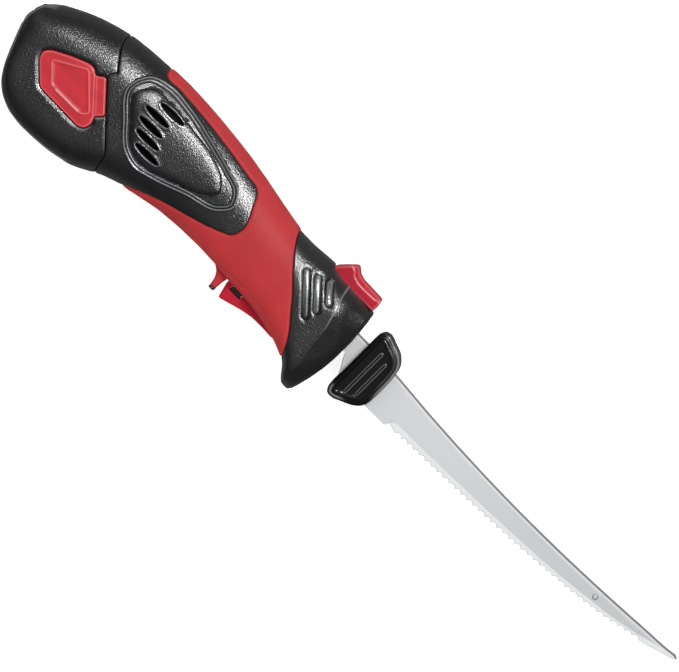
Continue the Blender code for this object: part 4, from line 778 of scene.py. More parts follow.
@dataclass
class BodyForm:
    """Superellipse sections along X, blended between their stations.

    A place on one flank is given by its x and its share of the way round the section, from 0
    at the belly to 1 at the spine.
    """

    stations: Sequence[Station] = STATIONS
    flank: float = 22.35        # half thickness between the flat flanks
    shoulder: float = 2.35      # most roundness towards the spine
    limit: float = 23.0         # what the raised details keep within
    flank_blend: float = 1.6    # how softly a section runs into its flat
    reach: float = 1.7          # how far the stations are blended along X
    pitch: float = 0.5
    shares: int = 241
    x: Array = field(init=False)
    y: Array = field(init=False)
    z: Array = field(init=False)
    normal: Array = field(init=False)

    def __post_init__(self) -> None:
        """Work the tables of places and normals out."""
        first, last = self.stations[0][0], self.stations[-1][0]
        self.x = np.arange(first, last + self.pitch / 2, self.pitch)
        turn = np.linspace(-math.pi / 2, math.pi / 2, 3 * self.shares)
        rows = [self._ring(x, turn) for x in self.x]
        self.y = np.array([row[0] for row in rows])
        self.z = np.array([row[1] for row in rows])
        along = np.stack((np.ones_like(self.y), np.gradient(self.y, self.pitch, axis=0),
                          np.gradient(self.z, self.pitch, axis=0)), axis=-1)
        across = np.stack((np.zeros_like(self.y), np.gradient(self.y, axis=1),
                           np.gradient(self.z, axis=1)), axis=-1)
        normal = np.cross(along, across)
        self.normal = normal / np.linalg.norm(normal, axis=-1, keepdims=True)

    def _profile(self, x: float) -> list[float]:
        """Section at x, blended with what lies near.

        Args:
            x: Where it is.

        Returns:
            Its top, bottom, half width and roundness.
        """
        reach = min(self.reach, 0.02 + 0.45 * (x - self.stations[0][0]))
        offsets = np.linspace(-2.0, 2.0, 9) * reach
        weights = np.exp(-0.5 * (offsets / reach) ** 2)
        columns = np.array(self.stations).T
        return [float(np.average(np.interp(x + offsets, columns[0], column), weights=weights))
                for column in columns[1:]]

    def _ring(self, x: float, turn: Array) -> tuple[Array, Array]:
        """One half section, at even steps along its length.

        Args:
            x: Where the section is.
            turn: Angles from the belly to the spine.

        Returns:
            Its y and z.
        """
        top, bottom, half, roundness = self._profile(x)
        sine, cosine = np.sin(turn), np.clip(np.cos(turn), 0.0, 1.0)
        roundness = np.where(sine > 0, np.minimum(roundness, self.shoulder), roundness)
        y = (top + bottom) / 2 + (top - bottom) / 2 * np.sign(sine) * (
            np.abs(sine) ** (2 / roundness))
        z = half * cosine ** (2 / roundness)
        share = np.clip(0.5 + 0.5 * (self.flank - z) / self.flank_blend, 0.0, 1.0)
        z = self.flank + (z - self.flank) * share - self.flank_blend * share * (1 - share)
        z = np.maximum(z, 0.0)
        length = np.concatenate(([0.0], np.cumsum(np.hypot(np.diff(y), np.diff(z)))))
        even = np.linspace(0.0, length[-1], self.shares)
        return np.interp(even, length, y), np.interp(even, length, z)

    def share_of(self, x: Array, y: Array) -> Array:
        """Share of the way round at which the flank has a height.

        Args:
            x: Places along the knife.
            y: Heights; past the form the share runs on below 0 or above 1.

        Returns:
            The shares.
        """
        even = np.linspace(0.0, 1.0, self.shares)
        found = np.empty(len(x))
        for k, (at, height) in enumerate(zip(x, y)):
            row = self.y[int(np.clip(round((at - self.x[0]) / self.pitch), 0,
                                     len(self.x) - 1))]
            past = max(height - row[-1], 0.0) - max(row[0] - height, 0.0)
            found[k] = np.interp(height, row, even) + past / FAR
        return found

    def place(self, x: Array, share: Array) -> tuple[Array, Array]:
        """Points and normals of the right flank.

        Args:
            x: Places along the knife.
            share: Shares of the way round.

        Returns:
            The points and their normals, a row each.
        """
        row = np.clip((x - self.x[0]) / self.pitch, 0, len(self.x) - 1.001)
        column = np.clip(share * (self.shares - 1), 0, self.shares - 1.001)
        j, k = row.astype(int), column.astype(int)
        a, b = (row - j)[:, None], (column - k)[:, None]
        table = np.concatenate((self.y[..., None], self.z[..., None], self.normal), axis=-1)
        low = table[j, k] * (1 - b) + table[j, k + 1] * b
        high = table[j + 1, k] * (1 - b) + table[j + 1, k + 1] * b
        both = low * (1 - a) + high * a
        points = np.stack((x, both[:, 0], both[:, 1]), axis=1)
        return points, both[:, 2:]

    def _solid(self, shop: "Workshop", inset: float, start: float,
               end: float) -> Part:
        """The form as one closed body, drawn in by a distance.

        Args:
            shop: Makes the object.
            inset: How far in.
            start: Where it starts along X.
            end: Where it ends.

        Returns:
            The body, in knife millimetres.
        """
        shares = np.linspace(0.0, 1.0, 41)
        places = np.arange(start, end + 0.5, 2.5)
        x, share = np.meshgrid(places, shares, indexing="ij")
        points, normal = self.place(x.ravel(), share.ravel())
        inner = (points - normal * inset).reshape(len(places), len(shares), 3)
        inner[:, :, 0] = x
        inner[:, (0, -1), 2] = 0.0
        left = inner[:, -2:0:-1] * (1.0, 1.0, -1.0)
        rings = np.concatenate((inner, left), axis=1)
        count, around = rings.shape[:2]
        faces = [(k * around + j, k * around + (j + 1) % around,
                  (k + 1) * around + (j + 1) % around, (k + 1) * around + j)
                 for k in range(count - 1) for j in range(around)]
        faces.append(tuple(reversed(range(around))))
        faces.append(tuple(range((count - 1) * around, count * around)))
        bm = bmesh.new()
        corners = [bm.verts.new(p) for p in rings.reshape(-1, 3)]
        for face in faces:
            bm.faces.new([corners[k] for k in face])
        bmesh.ops.recalc_face_normals(bm, faces=bm.faces)
        bmesh.ops.triangulate(bm, faces=bm.faces[:])
        return shop.from_bmesh("inner_form", bm)

    def within(self, shop: "Workshop", node: str, inset: float, start: float,
               end: float) -> Part:
        """A node's own mesh, as far as it lies in the form drawn in by a distance.

        Args:
            shop: Makes the objects.
            node: The node.
            inset: How far in.
            start: Where the form starts along X.
            end: Where it ends.

        Returns:
            The mesh's object, in knife millimetres.
        """
        return shop.boolean(shop.node_copy(node), "INTERSECT",
                            self._solid(shop, inset, start, end))


@dataclass
class Places:
    """Where knife sizes lie in the shared frame, read from a pin whose place is known."""

    pin: str = "trigger_pin"
    pin_at: Place = (-34.0, -20.5, 0.0)
    offset: Vector = field(init=False)

    def __post_init__(self) -> None:
        """Measure the pin."""
        low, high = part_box(self.pin)
        self.offset = (low + high) / 2 / MM - Vector(self.pin_at)

    def matrix(self) -> Matrix:
        """From knife millimetres to frame metres."""
        return Matrix.Scale(MM, 4) @ Matrix.Translation(self.offset)


class Workshop:
    """Makes finished objects out of meshes in knife millimetres."""

    def __init__(self, frame: dict) -> None:
        """Keep the frame and measure where the knife lies in it."""
        self.frame = frame
        self.places = Places()

    def solid(self, name: str, points: Iterable[Sequence[float]],
              faces: Iterable[Sequence[int]]) -> Part:
        """Object of bare points and faces.

        Args:
            name: Its working name.
            points: The points, in knife millimetres.
            faces: The numbers of each face's points.

        Returns:
            The object.
        """
        mesh = bpy.data.meshes.new(name)
        mesh.from_pydata([tuple(map(float, p)) for p in points], [],
                         [tuple(map(int, f)) for f in faces])
        return self.object(name, mesh)

    def object(self, name: str, data: bpy.types.ID) -> Part:
        """Object of a mesh, a lamp or a camera, linked to the scene.

        Args:
            name: Its name.
            data: What it shows.

        Returns:
            The object.
        """
        made = bpy.data.objects.new(name, data)
        bpy.context.scene.collection.objects.link(made)
        return made

    def from_bmesh(self, name: str, bm: bmesh.types.BMesh) -> Part:
        """Object of a bmesh.

        Args:
            name: Its working name.
            bm: The bmesh, which is freed.

        Returns:
            The object.
        """
        mesh = bpy.data.meshes.new(name)
        bm.to_mesh(mesh)
        bm.free()
        return self.object(name, mesh)

    @staticmethod
    def bake(made: Part) -> Part:
        """Give an object the mesh that its modifiers come to.

        Args:
            made: The object.

        Returns:
            The same object.
        """
        graph = bpy.context.evaluated_depsgraph_get()
        mesh = bpy.data.meshes.new_from_object(made.evaluated_get(graph))
        made.modifiers.clear()
        made.data = mesh
        return made

    def boolean(self, made: Part, operation: str,
                *tools: Part) -> Part:
        """Cut, join or intersect with tools, which are removed.

        Args:
            made: The body.
            operation: DIFFERENCE, UNION or INTERSECT.
            tools: The other bodies.

        Returns:
            The body.
        """
        for tool in tools:
            step = made.modifiers.new(operation, "BOOLEAN")
            step.operation = operation
            step.object = tool
            step.solver = "MANIFOLD"
            before = len(made.data.polygons)
            self.bake(made)
            if len(made.data.polygons) == before or not made.data.polygons:
                LOG.warning("%s: %s with %s left %d faces", made.name, operation, tool.name,
                            len(made.data.polygons))
            bpy.data.objects.remove(tool)
        return made

    def plate(self, name: str, line: Iterable[Point], low: float,
              high: float) -> Part:
        """Outline in X and Y, filled between two heights.

        Args:
            name: Its working name.
            line: The outline.
            low: The lower height.
            high: The upper one.

        Returns:
            The body.
        """
        bm = bmesh.new()
        points = [bm.verts.new((x, y, low)) for x, y in line]
        face = bm.faces.new(points)
        top = bmesh.ops.extrude_face_region(bm, geom=[face])
        lifted = [v for v in top["geom"] if isinstance(v, bmesh.types.BMVert)]
        bmesh.ops.translate(bm, verts=lifted, vec=(0.0, 0.0, high - low))
        bmesh.ops.triangulate(bm, faces=bm.faces[:])
        bmesh.ops.recalc_face_normals(bm, faces=bm.faces)
        return self.from_bmesh(name, bm)

    def block(self, name: str, low: Sequence[float], high: Sequence[float],
              rounded: float = 0.0, segments: int = 3) -> Part:
        """Box between two corners.

        Args:
            name: Its working name.
            low: The corner with the least sizes.
            high: The opposite corner.
            rounded: Radius of its edges.
            segments: Facets across each rounded edge.

        Returns:
            The body.
        """
        low_corner, high_corner = Vector(low), Vector(high)
        bm = bmesh.new()
        bmesh.ops.create_cube(bm, size=1.0)
        grow = Matrix.Diagonal((*(high_corner - low_corner), 1.0))
        middle = Matrix.Translation((low_corner + high_corner) / 2)
        bmesh.ops.transform(bm, matrix=middle @ grow, verts=bm.verts)
        if rounded:
            bmesh.ops.bevel(bm, geom=bm.edges[:], offset=rounded, segments=segments,
                            affect="EDGES", profile=0.5)
        return self.from_bmesh(name, bm)

    def rod(self, name: str, centre: Sequence[float], radius: float, length: float,
            axis: str = "Z") -> Part:
        """Cylinder about its centre.

        Args:
            name: Its working name.
            centre: Its centre.
            radius: Its radius.
            length: Its length.
            axis: X, Y or Z.

        Returns:
            The body.
        """
        bm = bmesh.new()
        bmesh.ops.create_cone(bm, cap_ends=True, segments=ROD_SIDES, radius1=radius,
                              radius2=radius, depth=length)
        turn = {"X": Matrix.Rotation(math.pi / 2, 4, "Y"),
                "Y": Matrix.Rotation(-math.pi / 2, 4, "X"), "Z": Matrix.Identity(4)}[axis]
        bmesh.ops.transform(bm, matrix=Matrix.Translation(Vector(centre)) @ turn,
                            verts=bm.verts)
        return self.from_bmesh(name, bm)

    def turned(self, name: str, profile: Sequence[Point]) -> Part:
        """Body turned about Z.

        Args:
            name: Its working name.
            profile: Radius and height of its corners, from axis to axis.

        Returns:
            The body.
        """
        bm = bmesh.new()
        corners = [bm.verts.new((radius, 0.0, height)) for radius, height in profile]
        edges = [bm.edges.new(pair) for pair in zip(corners, corners[1:])]
        bmesh.ops.spin(bm, geom=corners + edges, cent=(0, 0, 0), axis=(0, 0, 1),
                       angle=math.tau, steps=TURNED_SIDES)
        bmesh.ops.remove_doubles(bm, verts=bm.verts, dist=1e-4)
        bmesh.ops.recalc_face_normals(bm, faces=bm.faces)
        return self.from_bmesh(name, bm)

    @staticmethod
    def mark(made: Part, **marks: Height) -> None:
        """Store at a piece's points what each function of their x and y says.

        Args:
            made: The piece.
            marks: The functions, by the names that they are stored under.
        """
        x, y, _ = np.array([v.co for v in made.data.vertices]).T
        for name, value in marks.items():
            layer = made.data.attributes.new(name, "FLOAT", "POINT")
            layer.data.foreach_set("value", value(x, y).astype(np.float32))

    def node_copy(self, node: str) -> Part:
        """Merged copy of a node's mesh.

        Args:
            node: The node.

        Returns:
            The copy, in knife millimetres.
        """
        bm = bmesh.new()
        bm.from_mesh(self.frame["nodes"][node].data)
        bmesh.ops.remove_doubles(bm, verts=bm.verts, dist=0.000002)
        bm.transform(self.places.matrix().inverted())
        return self.from_bmesh(node + "_copy", bm)

    def finish(self, made: Part, name: str, finish: Finish, slot: str, body: str,
               nodes: Sequence[str] = (), sharp: float = 48.0) -> Part:
        """Put a piece into the frame, dress it and hang it on its body.

        Args:
            made: The piece, in knife millimetres.
            name: Its name.
            finish: Its finish.
            slot: The record's material slot; not used.
            body: The body that it moves with.
            nodes: The nodes that it stands for.
            sharp: Edges that turn by more degrees stay sharp.

        Returns:
            The piece.
        """
        made.name = name
        made.data.name = name
        made.data.transform(self.places.matrix())
        made.data.materials.clear()
        made.data.materials.append(finish.material())
        made.data.polygons.foreach_set("material_index", [0] * len(made.data.polygons))
        made.data.shade_smooth()
        made.data.set_sharp_from_angle(angle=math.radians(sharp))
        made.data.update()
        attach(made, body)
        if nodes:
            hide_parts(*nodes)
        LOG.info("%s: %d faces on %s", name, len(made.data.polygons), body)
        return made

    def dress(self, finish: Finish, *nodes: str) -> None:
        """Give carried-over nodes a finish.

        Args:
            finish: The finish.
            nodes: The nodes.
        """
        for node in nodes:
            mesh = self.frame["nodes"][node].data
            mesh.materials.clear()
            mesh.materials.append(finish.material())
            LOG.info("%s: dressed as %s", node, finish.name)


@dataclass
class Skin:
    """Moulded skin over part of the form, with relief that follows outlines on the flank."""

    form: BodyForm
    start: float
    end: float
    contours: Contours
    inside: Callable[[Array, Array], Array]
    relief: Relief
    wall: float = 1.6
    spacing: float = 1.3
    parting: float = 0.08       # how far each half stops short of the middle plane
    lip: float = 0.45           # rounding of the edge at the parting line
    span: float = 96.0          # length that the way round the section is drawn at

    def _grid(self) -> Array:
        """Even points over the unrolled flank, left out where an outline runs close by.

        Returns:
            The points.
        """
        columns = max(2, round((self.end - self.start) / self.spacing))
        rows = round(self.span / self.spacing)
        edge = self.lip / self.span
        shares = np.concatenate(([0.0, edge * 0.4, edge], np.linspace(edge, 1 - edge, rows)[1:-1],
                                 [1 - edge, 1 - edge * 0.4, 1.0]))
        x, share = np.meshgrid(np.linspace(self.start, self.end, columns), shares)
        x, share = x.ravel(), share.ravel()
        points, _ = self.form.place(x, share)
        keep = clear_of(self.contours, x, points[:, 1], self.spacing * 0.3)
        keep |= (share < 1e-6) | (share > 1 - 1e-6)
        return np.stack((x, (share - 0.5) * self.span), axis=1)[keep]

    def _lines(self) -> list[Array]:
        """The contours on the unrolled flank, and the frame round it.

        Returns:
            The lines.
        """
        lines = []
        for x, y in (line.T for line in runs(self.contours)):
            share = self.form.share_of(np.clip(x, self.start, self.end), y)
            lines.append(np.stack((x, (share - 0.5) * self.span), axis=1))
        half = self.span / 2
        frame = [(self.start, -half), (self.end, -half), (self.end, half), (self.start, half)]
        return lines + [np.array(frame + frame[:1])]

    def half(self, shop: Workshop, name: str, side: Side,
             closed_at: Sequence[float] = ()) -> Part:
        """One half of the skin as a closed shell.

        Args:
            shop: Makes the object.
            name: Its working name.
            side: Which flank.
            closed_at: Ends along X that get a flat wall.

        Returns:
            The shell, in knife millimetres.
        """
        spots, faces = triangulated(self._grid(), self._lines())
        x, away = spots[faces].mean(axis=1).T
        share = away / self.span + 0.5
        where, _ = self.form.place(x, share)
        keep = ((share > 0) & (share < 1) & (x > self.start) & (x < self.end)
                & self.inside(where[:, 0], where[:, 1]))
        spots, faces = packed(spots, faces[keep])
        share = np.clip(spots[:, 1] / self.span + 0.5, 0.0, 1.0)
        where, normal = self.form.place(spots[:, 0], share)
        height = self.relief(*where.T)
        rim = np.minimum(share, 1 - share) * self.span
        height -= self.lip * 0.6 * (1 - unit_round(rim, self.lip))
        where = where + normal * height[:, None]
        where[:, 2] = np.clip(where[:, 2], self.parting, self.form.limit)
        where[:, 2] *= side.value
        if side is Side.LEFT:
            faces = faces[:, ::-1]
        made = shop.solid(name, where, faces)
        self._close(made, side, closed_at)
        wall = made.modifiers.new("Wall", "SOLIDIFY")
        wall.thickness = self.wall
        wall.offset = -1.0
        return shop.bake(made)

    def _close(self, made: Part, side: Side, closed_at: Sequence[float]) -> None:
        """Run the skin's ends across to the parting plane.

        Args:
            made: The open skin.
            side: Which flank it is.
            closed_at: Where the ends are along X.
        """
        bm = bmesh.new()
        bm.from_mesh(made.data)
        bmesh.ops.remove_doubles(bm, verts=bm.verts, dist=0.002)
        for x in closed_at:
            rim = [e for e in bm.edges if e.is_boundary
                   and all(abs(v.co.x - x) < 0.3 for v in e.verts)
                   and max(abs(v.co.z) for v in e.verts) > self.parting * 1.01]
            grown = bmesh.ops.extrude_edge_only(bm, edges=rim)["geom"]
            for item in grown:
                if isinstance(item, bmesh.types.BMVert):
                    item.co.z = self.parting * side.value
        bmesh.ops.remove_doubles(bm, verts=bm.verts, dist=0.002)
        bmesh.ops.dissolve_degenerate(bm, edges=bm.edges, dist=0.001)
        bm.to_mesh(made.data)
        bm.free()


@dataclass
class Slab:
    """Closed body between two heights over an outline, with relief on either face."""

    line: Outline
    top: Height
    bottom: Height
    rim: Sequence[float] = (-0.12, -0.3, -0.6, -1.0)
    contours: Contours = ()
    spacing: float = 1.2

    def _triangles(self) -> tuple[Array, Array]:
        """Triangles within the outline, which keep to the rim and the contours.

        Returns:
            Their points, and the numbers of each one's corners.
        """
        contours = ((self.line, (0.0, *self.rim)), *self.contours)
        x, y = self.line.spread(self.spacing)
        keep = self.line.distance(x, y) < -self.spacing * 0.5
        keep &= clear_of(contours, x, y, self.spacing * 0.35)
        spots, faces = triangulated(np.stack((x, y), axis=1)[keep], runs(contours))
        inside = self.line.distance(*spots[faces].mean(axis=1).T) < 0.0
        return packed(spots, faces[inside])

    def make(self, shop: Workshop, name: str, side: Side = Side.RIGHT) -> Part:
        """The body, turned over for the left side.

        Args:
            shop: Makes the object.
            name: Its working name.
            side: Which side it lies on.

        Returns:
            The body, in knife millimetres.
        """
        spots, corners = self._triangles()
        x, y = spots.T
        count = len(spots)
        sides = {(int(a), int(b)) for face in corners for a, b in zip(face, np.roll(face, -1))}
        faces = [tuple(face) for face in corners]
        faces += [tuple(int(v) + count for v in reversed(face)) for face in corners]
        faces += [(b, a, a + count, b + count) for a, b in sorted(sides) if (b, a) not in sides]
        both = np.concatenate([np.stack((x, y, height(x, y)), axis=1)
                               for height in (self.top, self.bottom)])
        if side is Side.LEFT:
            both[:, 2] *= -1.0
            faces = [tuple(reversed(face)) for face in faces]
        return shop.solid(name, both, faces)


class Pattern:
    """Geometry Nodes tree with named inputs, worked out once and then dropped."""

    def __init__(self, name: str, **inputs: str) -> None:
        """Start an empty tree.

        Args:
            name: Its name.
            inputs: Kind of socket of each named input, without the leading words.
        """
        self.group = bpy.data.node_groups.new(name, "GeometryNodeTree")
        face = self.group.interface
        face.new_socket("Geometry", in_out="INPUT", socket_type="NodeSocketGeometry")
        face.new_socket("Geometry", in_out="OUTPUT", socket_type="NodeSocketGeometry")
        self.values = {key: face.new_socket(key, in_out="INPUT",
                                            socket_type="NodeSocket" + kind).identifier
                       for key, kind in inputs.items()}
        self.start = self.group.nodes.new("NodeGroupInput")
        self.end = self.group.nodes.new("NodeGroupOutput")

    def node(self, kind: str, settings: dict[str, object],
             sockets: dict[int | str, object]) -> bpy.types.Node:
        """Add a node.

        Args:
            kind: Its type.
            settings: Its own settings.
            sockets: Values or links of its inputs, by name or index.

        Returns:
            The node.
        """
        made = self.group.nodes.new(kind)
        for name, value in settings.items():
            setattr(made, name, value)
        for name, value in sockets.items():
            if isinstance(value, bpy.types.NodeSocket):
                self.group.links.new(value, made.inputs[name])
            else:
                made.inputs[name].default_value = value
        return made

    def grow(self, shop: Workshop, made: Part, last: bpy.types.NodeSocket,
             material: bpy.types.Material, **values: object) -> Part:
        """Close the tree, run it on an object and keep the mesh.

        Args:
            shop: Bakes the mesh.
            made: The object whose geometry goes in.
            last: The tree's last geometry.
            material: What the result is made of.
            values: The named inputs' values.

        Returns:
            The object, now a plain mesh.
        """
        real = self.node("GeometryNodeRealizeInstances", {}, {"Geometry": last})
        coat = self.node("GeometryNodeSetMaterial", {},
                         {"Geometry": real.outputs["Geometry"], "Material": material})
        self.group.links.new(coat.outputs["Geometry"], self.end.inputs["Geometry"])
        run = made.modifiers.new(self.group.name, "NODES")
        run.node_group = self.group
        for name, value in values.items():
            run[self.values[name]] = value
        return shop.bake(made)


def repeated(shop: Workshop, name: str, unit: Part, spots: Array,
             finish: Finish, grow: float = 1.0, turn: float = 0.0, seed: int = 7,
             lean: float = 0.0) -> Part:
    """One small piece set at many spots by Geometry Nodes.

    Args:
        shop: Makes the object.
        name: Its working name.
        unit: The piece, about the origin, which is removed.
        spots: Where it is set, in knife millimetres.
        finish: What it is made of.
        grow: How much larger than drawn it is set.
        turn: The most that each is turned about Z, at random from a fixed seed.
        seed: The seed.
        lean: How much all are turned about Z.

    Returns:
        All of them in one mesh.
    """
    base = shop.solid(name, spots, [])
    tree = Pattern(name, Piece="Object", Size="Float", Turn="Float", Lean="Float", Seed="Int")
    given = tree.start.outputs
    shape = tree.node("GeometryNodeObjectInfo", {"transform_space": "ORIGINAL"},
                      {"Object": given["Piece"]})
    chance = tree.node("FunctionNodeRandomValue", {"data_type": "FLOAT"},
                       {3: given["Turn"], "Seed": given["Seed"]})
    total = tree.node("ShaderNodeMath", {"operation": "ADD"},
                      {0: chance.outputs[1], 1: given["Lean"]})
    way = tree.node("ShaderNodeCombineXYZ", {}, {"Z": total.outputs[0]})
    placed = tree.node("GeometryNodeInstanceOnPoints", {},
                       {"Points": given["Geometry"], "Instance": shape.outputs["Geometry"],
                        "Rotation": way.outputs[0], "Scale": given["Size"]})
    made = tree.grow(shop, base, placed.outputs["Instances"], finish.material(), Piece=unit,
                     Size=grow, Turn=turn, Lean=lean, Seed=seed)
    bpy.data.objects.remove(unit)
    return made


def capsule(start: Point, end: Point, width: float) -> Outline:
    """Outline of a bar with round ends.

    Args:
        start: Middle of its rear end.
        end: Middle of its front end.
        width: Its width.

    Returns:
        The outline.
    """
    run = math.atan2(end[1] - start[1], end[0] - start[0])
    points: list[Point] = []
    for centre, first in ((end, -math.pi / 2), (start, math.pi / 2)):
        for step in range(9):
            turn = run + first + math.pi * step / 8
            points.append((centre[0] + width / 2 * math.cos(turn),
                           centre[1] + width / 2 * math.sin(turn)))
    return Outline(points, rounded=False)


def screw_unit(shop: Workshop, name: str, radius: float) -> Part:
    """Pan-head screw about the origin with its head towards -Z and a cross recess.

    Args:
        shop: Makes the object.
        name: Its working name.
        radius: Radius of its head.

    Returns:
        The screw.
    """
    shank = radius * 0.5
    profile = [(0.0, 0.0), (radius * 0.55, 0.0), (radius * 0.85, 0.25), (radius, 0.75),
               (radius, 1.3), (shank, 1.5)]
    for turn in range(9):
        profile += [(shank, 1.9 + turn * 0.8), (shank + 0.28, 2.2 + turn * 0.8),
                    (shank, 2.5 + turn * 0.8)]
    profile += [(shank * 0.4, 9.8), (0.0, 10.2)]
    made = shop.turned(name, profile)
    for size in ((1.5, 0.34), (0.34, 1.5)):
        shop.boolean(made, "DIFFERENCE",
                     shop.block("recess", (-size[0], -size[1], -1.0), (*size, 0.85)))
    return made


def set_screws(shop: Workshop, kind: str, count: int, radius: float, body: str,
               seed: int) -> None:
    """Screws of one body, each where its node is and turned at random.

    Args:
        shop: Makes the object.
        kind: How their nodes' names start.
        count: How many they are.
        radius: Radius of their heads.
        body: The body that they move with.
        seed: Seed of the turns.
    """
    back = shop.places.matrix().inverted()
    nodes = [f"{kind}_screw_{number}" for number in range(1, count + 1)]
    name = kind + "_screws"
    spots = []
    for node in nodes:
        low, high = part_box(node)
        x, y, _ = back @ ((low + high) / 2)
        spots.append((x, y, (back @ low).z))
    made = repeated(shop, name, screw_unit(shop, name, radius), np.array(spots), SCREW,
                    turn=math.tau, seed=seed)
    shop.finish(made, name, SCREW, "screw_steel", body, nodes, sharp=32.0)


# Battery

LATCH_LINE: Line = (
    (-226.3, -7.2), (-227.5, -4.7), (-227.6, -2.4), (-226.4, -0.2), (-223.6, 1.9),
    (-215.0, 6.3), (-205.7, 10.2), (-202.1, 10.6),
    (-198.6, 8.1), (-193.6, 11.6), (-179.4, -3.9), (-183.6, -8.4), (-181.6, -12.3),
    (-183.0, -16.6), (-186.4, -18.4), (-213.8, -17.8), (-216.4, -17.0),
)
LATCH_PANEL: Line = (
    (-220.4, -2.4), (-203.8, 7.0), (-202.2, 6.3), (-187.0, -8.9), (-190.0, -11.9),
    (-211.6, -11.9),
)
LATCH_CREASE: Line = ((-200.8, 10.5), (-198.6, 8.1), (-183.6, -8.4),
                      (-181.4, -10.8))
SEAM_LINE: Line = (
    (-201.9, 60.0), (-201.8, 37.4), (-201.5, 32.7), (-200.0, 29.1), (-195.7, 23.4),
    (-190.6, 17.2), (-193.0, 14.2), (-193.2, 12.0), (-178.9, -3.7), (-166.4, -16.9),
    (-164.6, -19.6), (-163.9, -25.1), (-163.2, -29.0), (-162.4, -60.0),
)
SEAM_GAP = 0.25


